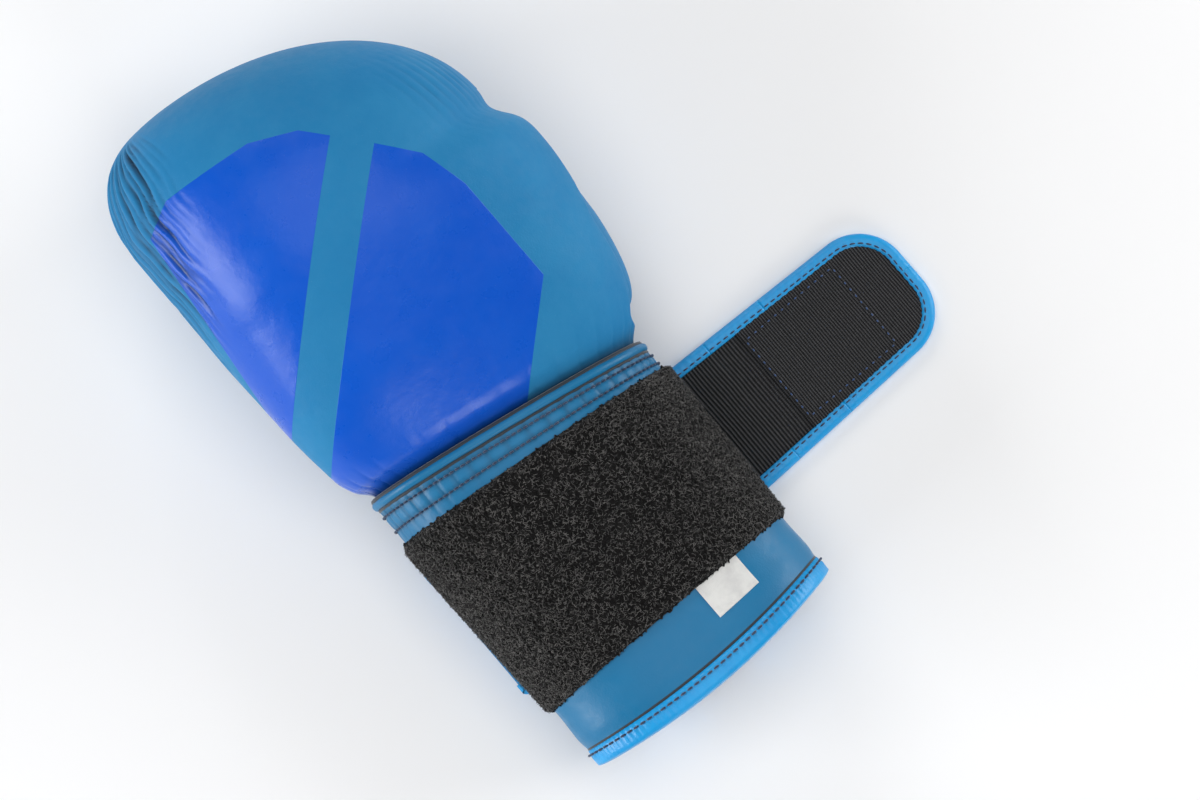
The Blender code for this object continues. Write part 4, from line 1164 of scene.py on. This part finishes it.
def binding_strip(name, start, end, side, look):
    """The tape along one edge of the strap; at the tip it runs round to the strap's middle line."""
    _, tip = fold_xs()
    reference = strap_edge_path(start, end, 0.0, side)
    if end >= tip - 1e-6:
        reference = to_middle(reference, side)
    flat = reference.copy()
    flat[:, 2] = 0.0
    inward = inward_of(flat, side)
    grid = []
    reach = np.concatenate([[0], np.cumsum(np.linalg.norm(np.diff(reference, axis=0), axis=1))])
    for across, height in binding_section():
        if start is None:
            line = beside_edge(end, height, across, side, 0.8 * MM)
        else:
            line = reference + inward * across
            line[:, 2] = height
        pucker = 0.12 * MM * np.sin(reach / TAPE_STITCH_PITCH * 2 * math.pi) * (1 if across > 2 * MM else 0.2)
        line[:, 2] += pucker * (1 if height > STRAP_TOP / 2 else 0)
        grid.append(line)
    return folded_tape(name, grid, look, None)


def tape_stitches(name, start, end, side, at_tip, look):
    height = STRAP_TOP - 0.05 * MM
    if start is None:
        path = beside_edge(end, height, STRAP_STITCH_INSET, side, 1.0 * MM)
    else:
        path = strap_edge_path(start, end, height, side)
        path = to_middle(path, side) if at_tip else path
        path = path + inward_of(path, side) * STRAP_STITCH_INSET
    return stitches(name, path, upward(len(path)), look, None, pitch=TAPE_STITCH_PITCH)


def blend_over(obj):
    """Bakes the piece's placement into its points."""
    xs, _ = fold_xs()
    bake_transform(obj)


def strap_layers(number, start, stop, at_tip, looks):
    """The outer leather, the elastic and, past its start, the hook tape on one length of the strap."""
    root = number == 1
    name = f"strap_face_{number}"
    face = strap_layer(f"{name}_leather", start, stop, *FACE_LAYER, 2 * MM, looks["leather"], "matte_leather")
    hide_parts(name, *(["strap_face_root"] if root else []))
    name = f"strap_elastic_{number}"
    web = strap_layer(name, start, stop, *ELASTIC_LAYER, 2 * MM, looks["webbing"], "webbing", wave=0.15 * MM)
    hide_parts(f"strap_webbing_{number}", *(["strap_webbing_root"] if root else []))
    made = [face, web]
    if stop > HOOK_START_X + 1 * MM:
        name = f"hook_tape_{number}"
        first, last = max(start, HOOK_START_X), stop - (1.2 * MM if at_tip else 0)
        hook = strap_layer(f"{name}_pile", first, last, *HOOK_LAYER, 4.2 * MM, looks["hook"], "hook_tape")
        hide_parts(name)
        made.append(hook)
    return made


def make_strap(looks):
    xs, tip = fold_xs()
    middles = [(a + b) / 2 for a, b in zip(xs, xs[1:])]
    spans = list(zip([None, *middles], [*middles, tip]))
    for k, (start, end) in enumerate(spans):
        at_tip = k == len(spans) - 1
        number = k + 1
        made = strap_layers(number, start, end - 0.9 * MM if at_tip else end, at_tip, looks)
        for side, where in ((1, "front"), (-1, "rear")):
            name = f"strap_binding_{where}"
            tape = binding_strip(f"{name}_{number}_tape", start, end, side, looks["binding"])
            cover = [] if at_tip else [f"{name}_{number}"]
            if k == 0:
                cover.append(f"{name}_root")
            if at_tip and side == 1:
                cover.append("strap_binding_tip")
            if cover:
                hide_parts(*cover)
            made.append(tape)
            thread = f"strap_stitch_{where}_{number}"
            made.append(tape_stitches(thread, start, end, side, at_tip, looks["thread"]))
        for piece in made + strap_box_stitches(number, start, end, looks):
            blend_over(piece)


def strap_box_stitches(number, start, end, looks):
    """The rectangle sewn through the strap: the part of it that lies on this length."""
    near, far, half = STITCH_BOX
    start = -1 if start is None else start
    x0, x1 = max(start, near), min(end, far)
    rows = []
    if x1 - x0 > 2 * MM:
        xs = np.linspace(x0, x1, 40)
        rows += [("front", xs, STRAP_Y + half), ("rear", xs, STRAP_Y - half)]
    ys = np.linspace(-half, half, 40) + STRAP_Y
    rows += [(where, x, ys) for where, x in (("near", near), ("far", far)) if start <= x < end]
    sizes = {"pitch": TAPE_STITCH_PITCH, "length": 1.2 * MM}
    made = []
    for where, x, y in rows:
        path = joined(x, y, 4.5 * MM)
        name = f"box_stitch_{where}_{number}"
        made.append(stitches(name, path, upward(40), looks["strap_thread"], None, **sizes))
    return made


# ---------------------------------------------------------------- camera, lights and floor


def make_camera():
    azimuth, elevation = math.radians(CAMERA_AZIMUTH), math.radians(CAMERA_ELEVATION)
    level = math.cos(elevation)
    back = Vector((math.sin(azimuth) * level, -math.cos(azimuth) * level, math.sin(elevation)))
    camera = bpy.data.objects.new("camera", bpy.data.cameras.new("camera"))
    camera.data.lens = 153
    camera.data.shift_x = -0.0055
    camera.location = Vector(CAMERA_TARGET) + back * CAMERA_DISTANCE
    camera.rotation_euler = (-back).to_track_quat("-Z", "Y").to_euler()
    bpy.context.scene.collection.objects.link(camera)
    bpy.context.scene.camera = camera


def area_light(name, place, size, power):
    data = bpy.data.lights.new(name, "AREA")
    data.shape = "RECTANGLE"
    data.size, data.size_y = size
    data.energy = power
    light = bpy.data.objects.new(name, data)
    light.location = place
    light.rotation_euler = (Vector(LIGHTS_TARGET) - Vector(place)).to_track_quat("-Z", "Y").to_euler()
    bpy.context.scene.collection.objects.link(light)


def make_studio():
    for light in LIGHTS:
        area_light(*light)
    world = bpy.data.worlds.new("studio")
    world.use_nodes = True
    background = world.node_tree.nodes["Background"].inputs
    background["Color"].default_value = (1, 1, 1, 1)
    background["Strength"].default_value = WORLD_STRENGTH
    bpy.context.scene.world = world
    verts = [(x * FLOOR_HALF, y * FLOOR_HALF, 0) for x, y in ((-1, -1), (1, -1), (1, 1), (-1, 1))]
    floor = finish_mesh("floor", verts, [(0, 1, 2, 3)], floor_look(), None, smooth=False)
    bpy.context.scene.view_settings.view_transform = "Standard"


def corners(pair):
    return [list(pair[0]), list(pair[1])]


def main():
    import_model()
    make_camera()
    looks = {
        "fist": fist_look(),
        "leather": leather_look("leather_look", TEAL, TEAL_WORN, 0.64),
        # The cuff's leather, with painted shade in its creases and stitch rows
        "cuff": leather_look("cuff_leather_look", CUFF_BLUE, CUFF_WORN, 0.42, shade_creases=True),
        "binding": binding_look(),
        "webbing": rib_look("webbing_look", 1.5 * MM, 0.062),
        "hook": rib_look("hook_tape_look", 1.15 * MM, 0.078),
        "loop": loop_look(),
        "fibre": fibre_look(),
        "lining": lining_look(),
        "label": label_look(),
        "thread": thread_look("thread_look", NAVY),
        "strap_thread": thread_look("strap_thread_look", STRAP_THREAD),
        # Painted shade: the material of the dark cords in the welt's creases and the tape's groove
        "dark": thread_look("crease_shade_look", CREASE_SHADE_CORD),
    }
    make_fist(looks)
    make_thumb(looks)
    make_thumb_tie(looks)
    make_cuff(looks)
    make_pocket(looks)
    make_welt(looks)
    make_patch(looks)
    make_label(looks)
    make_cuff_bindings(looks)
    make_strap(looks)
    make_studio()


main()
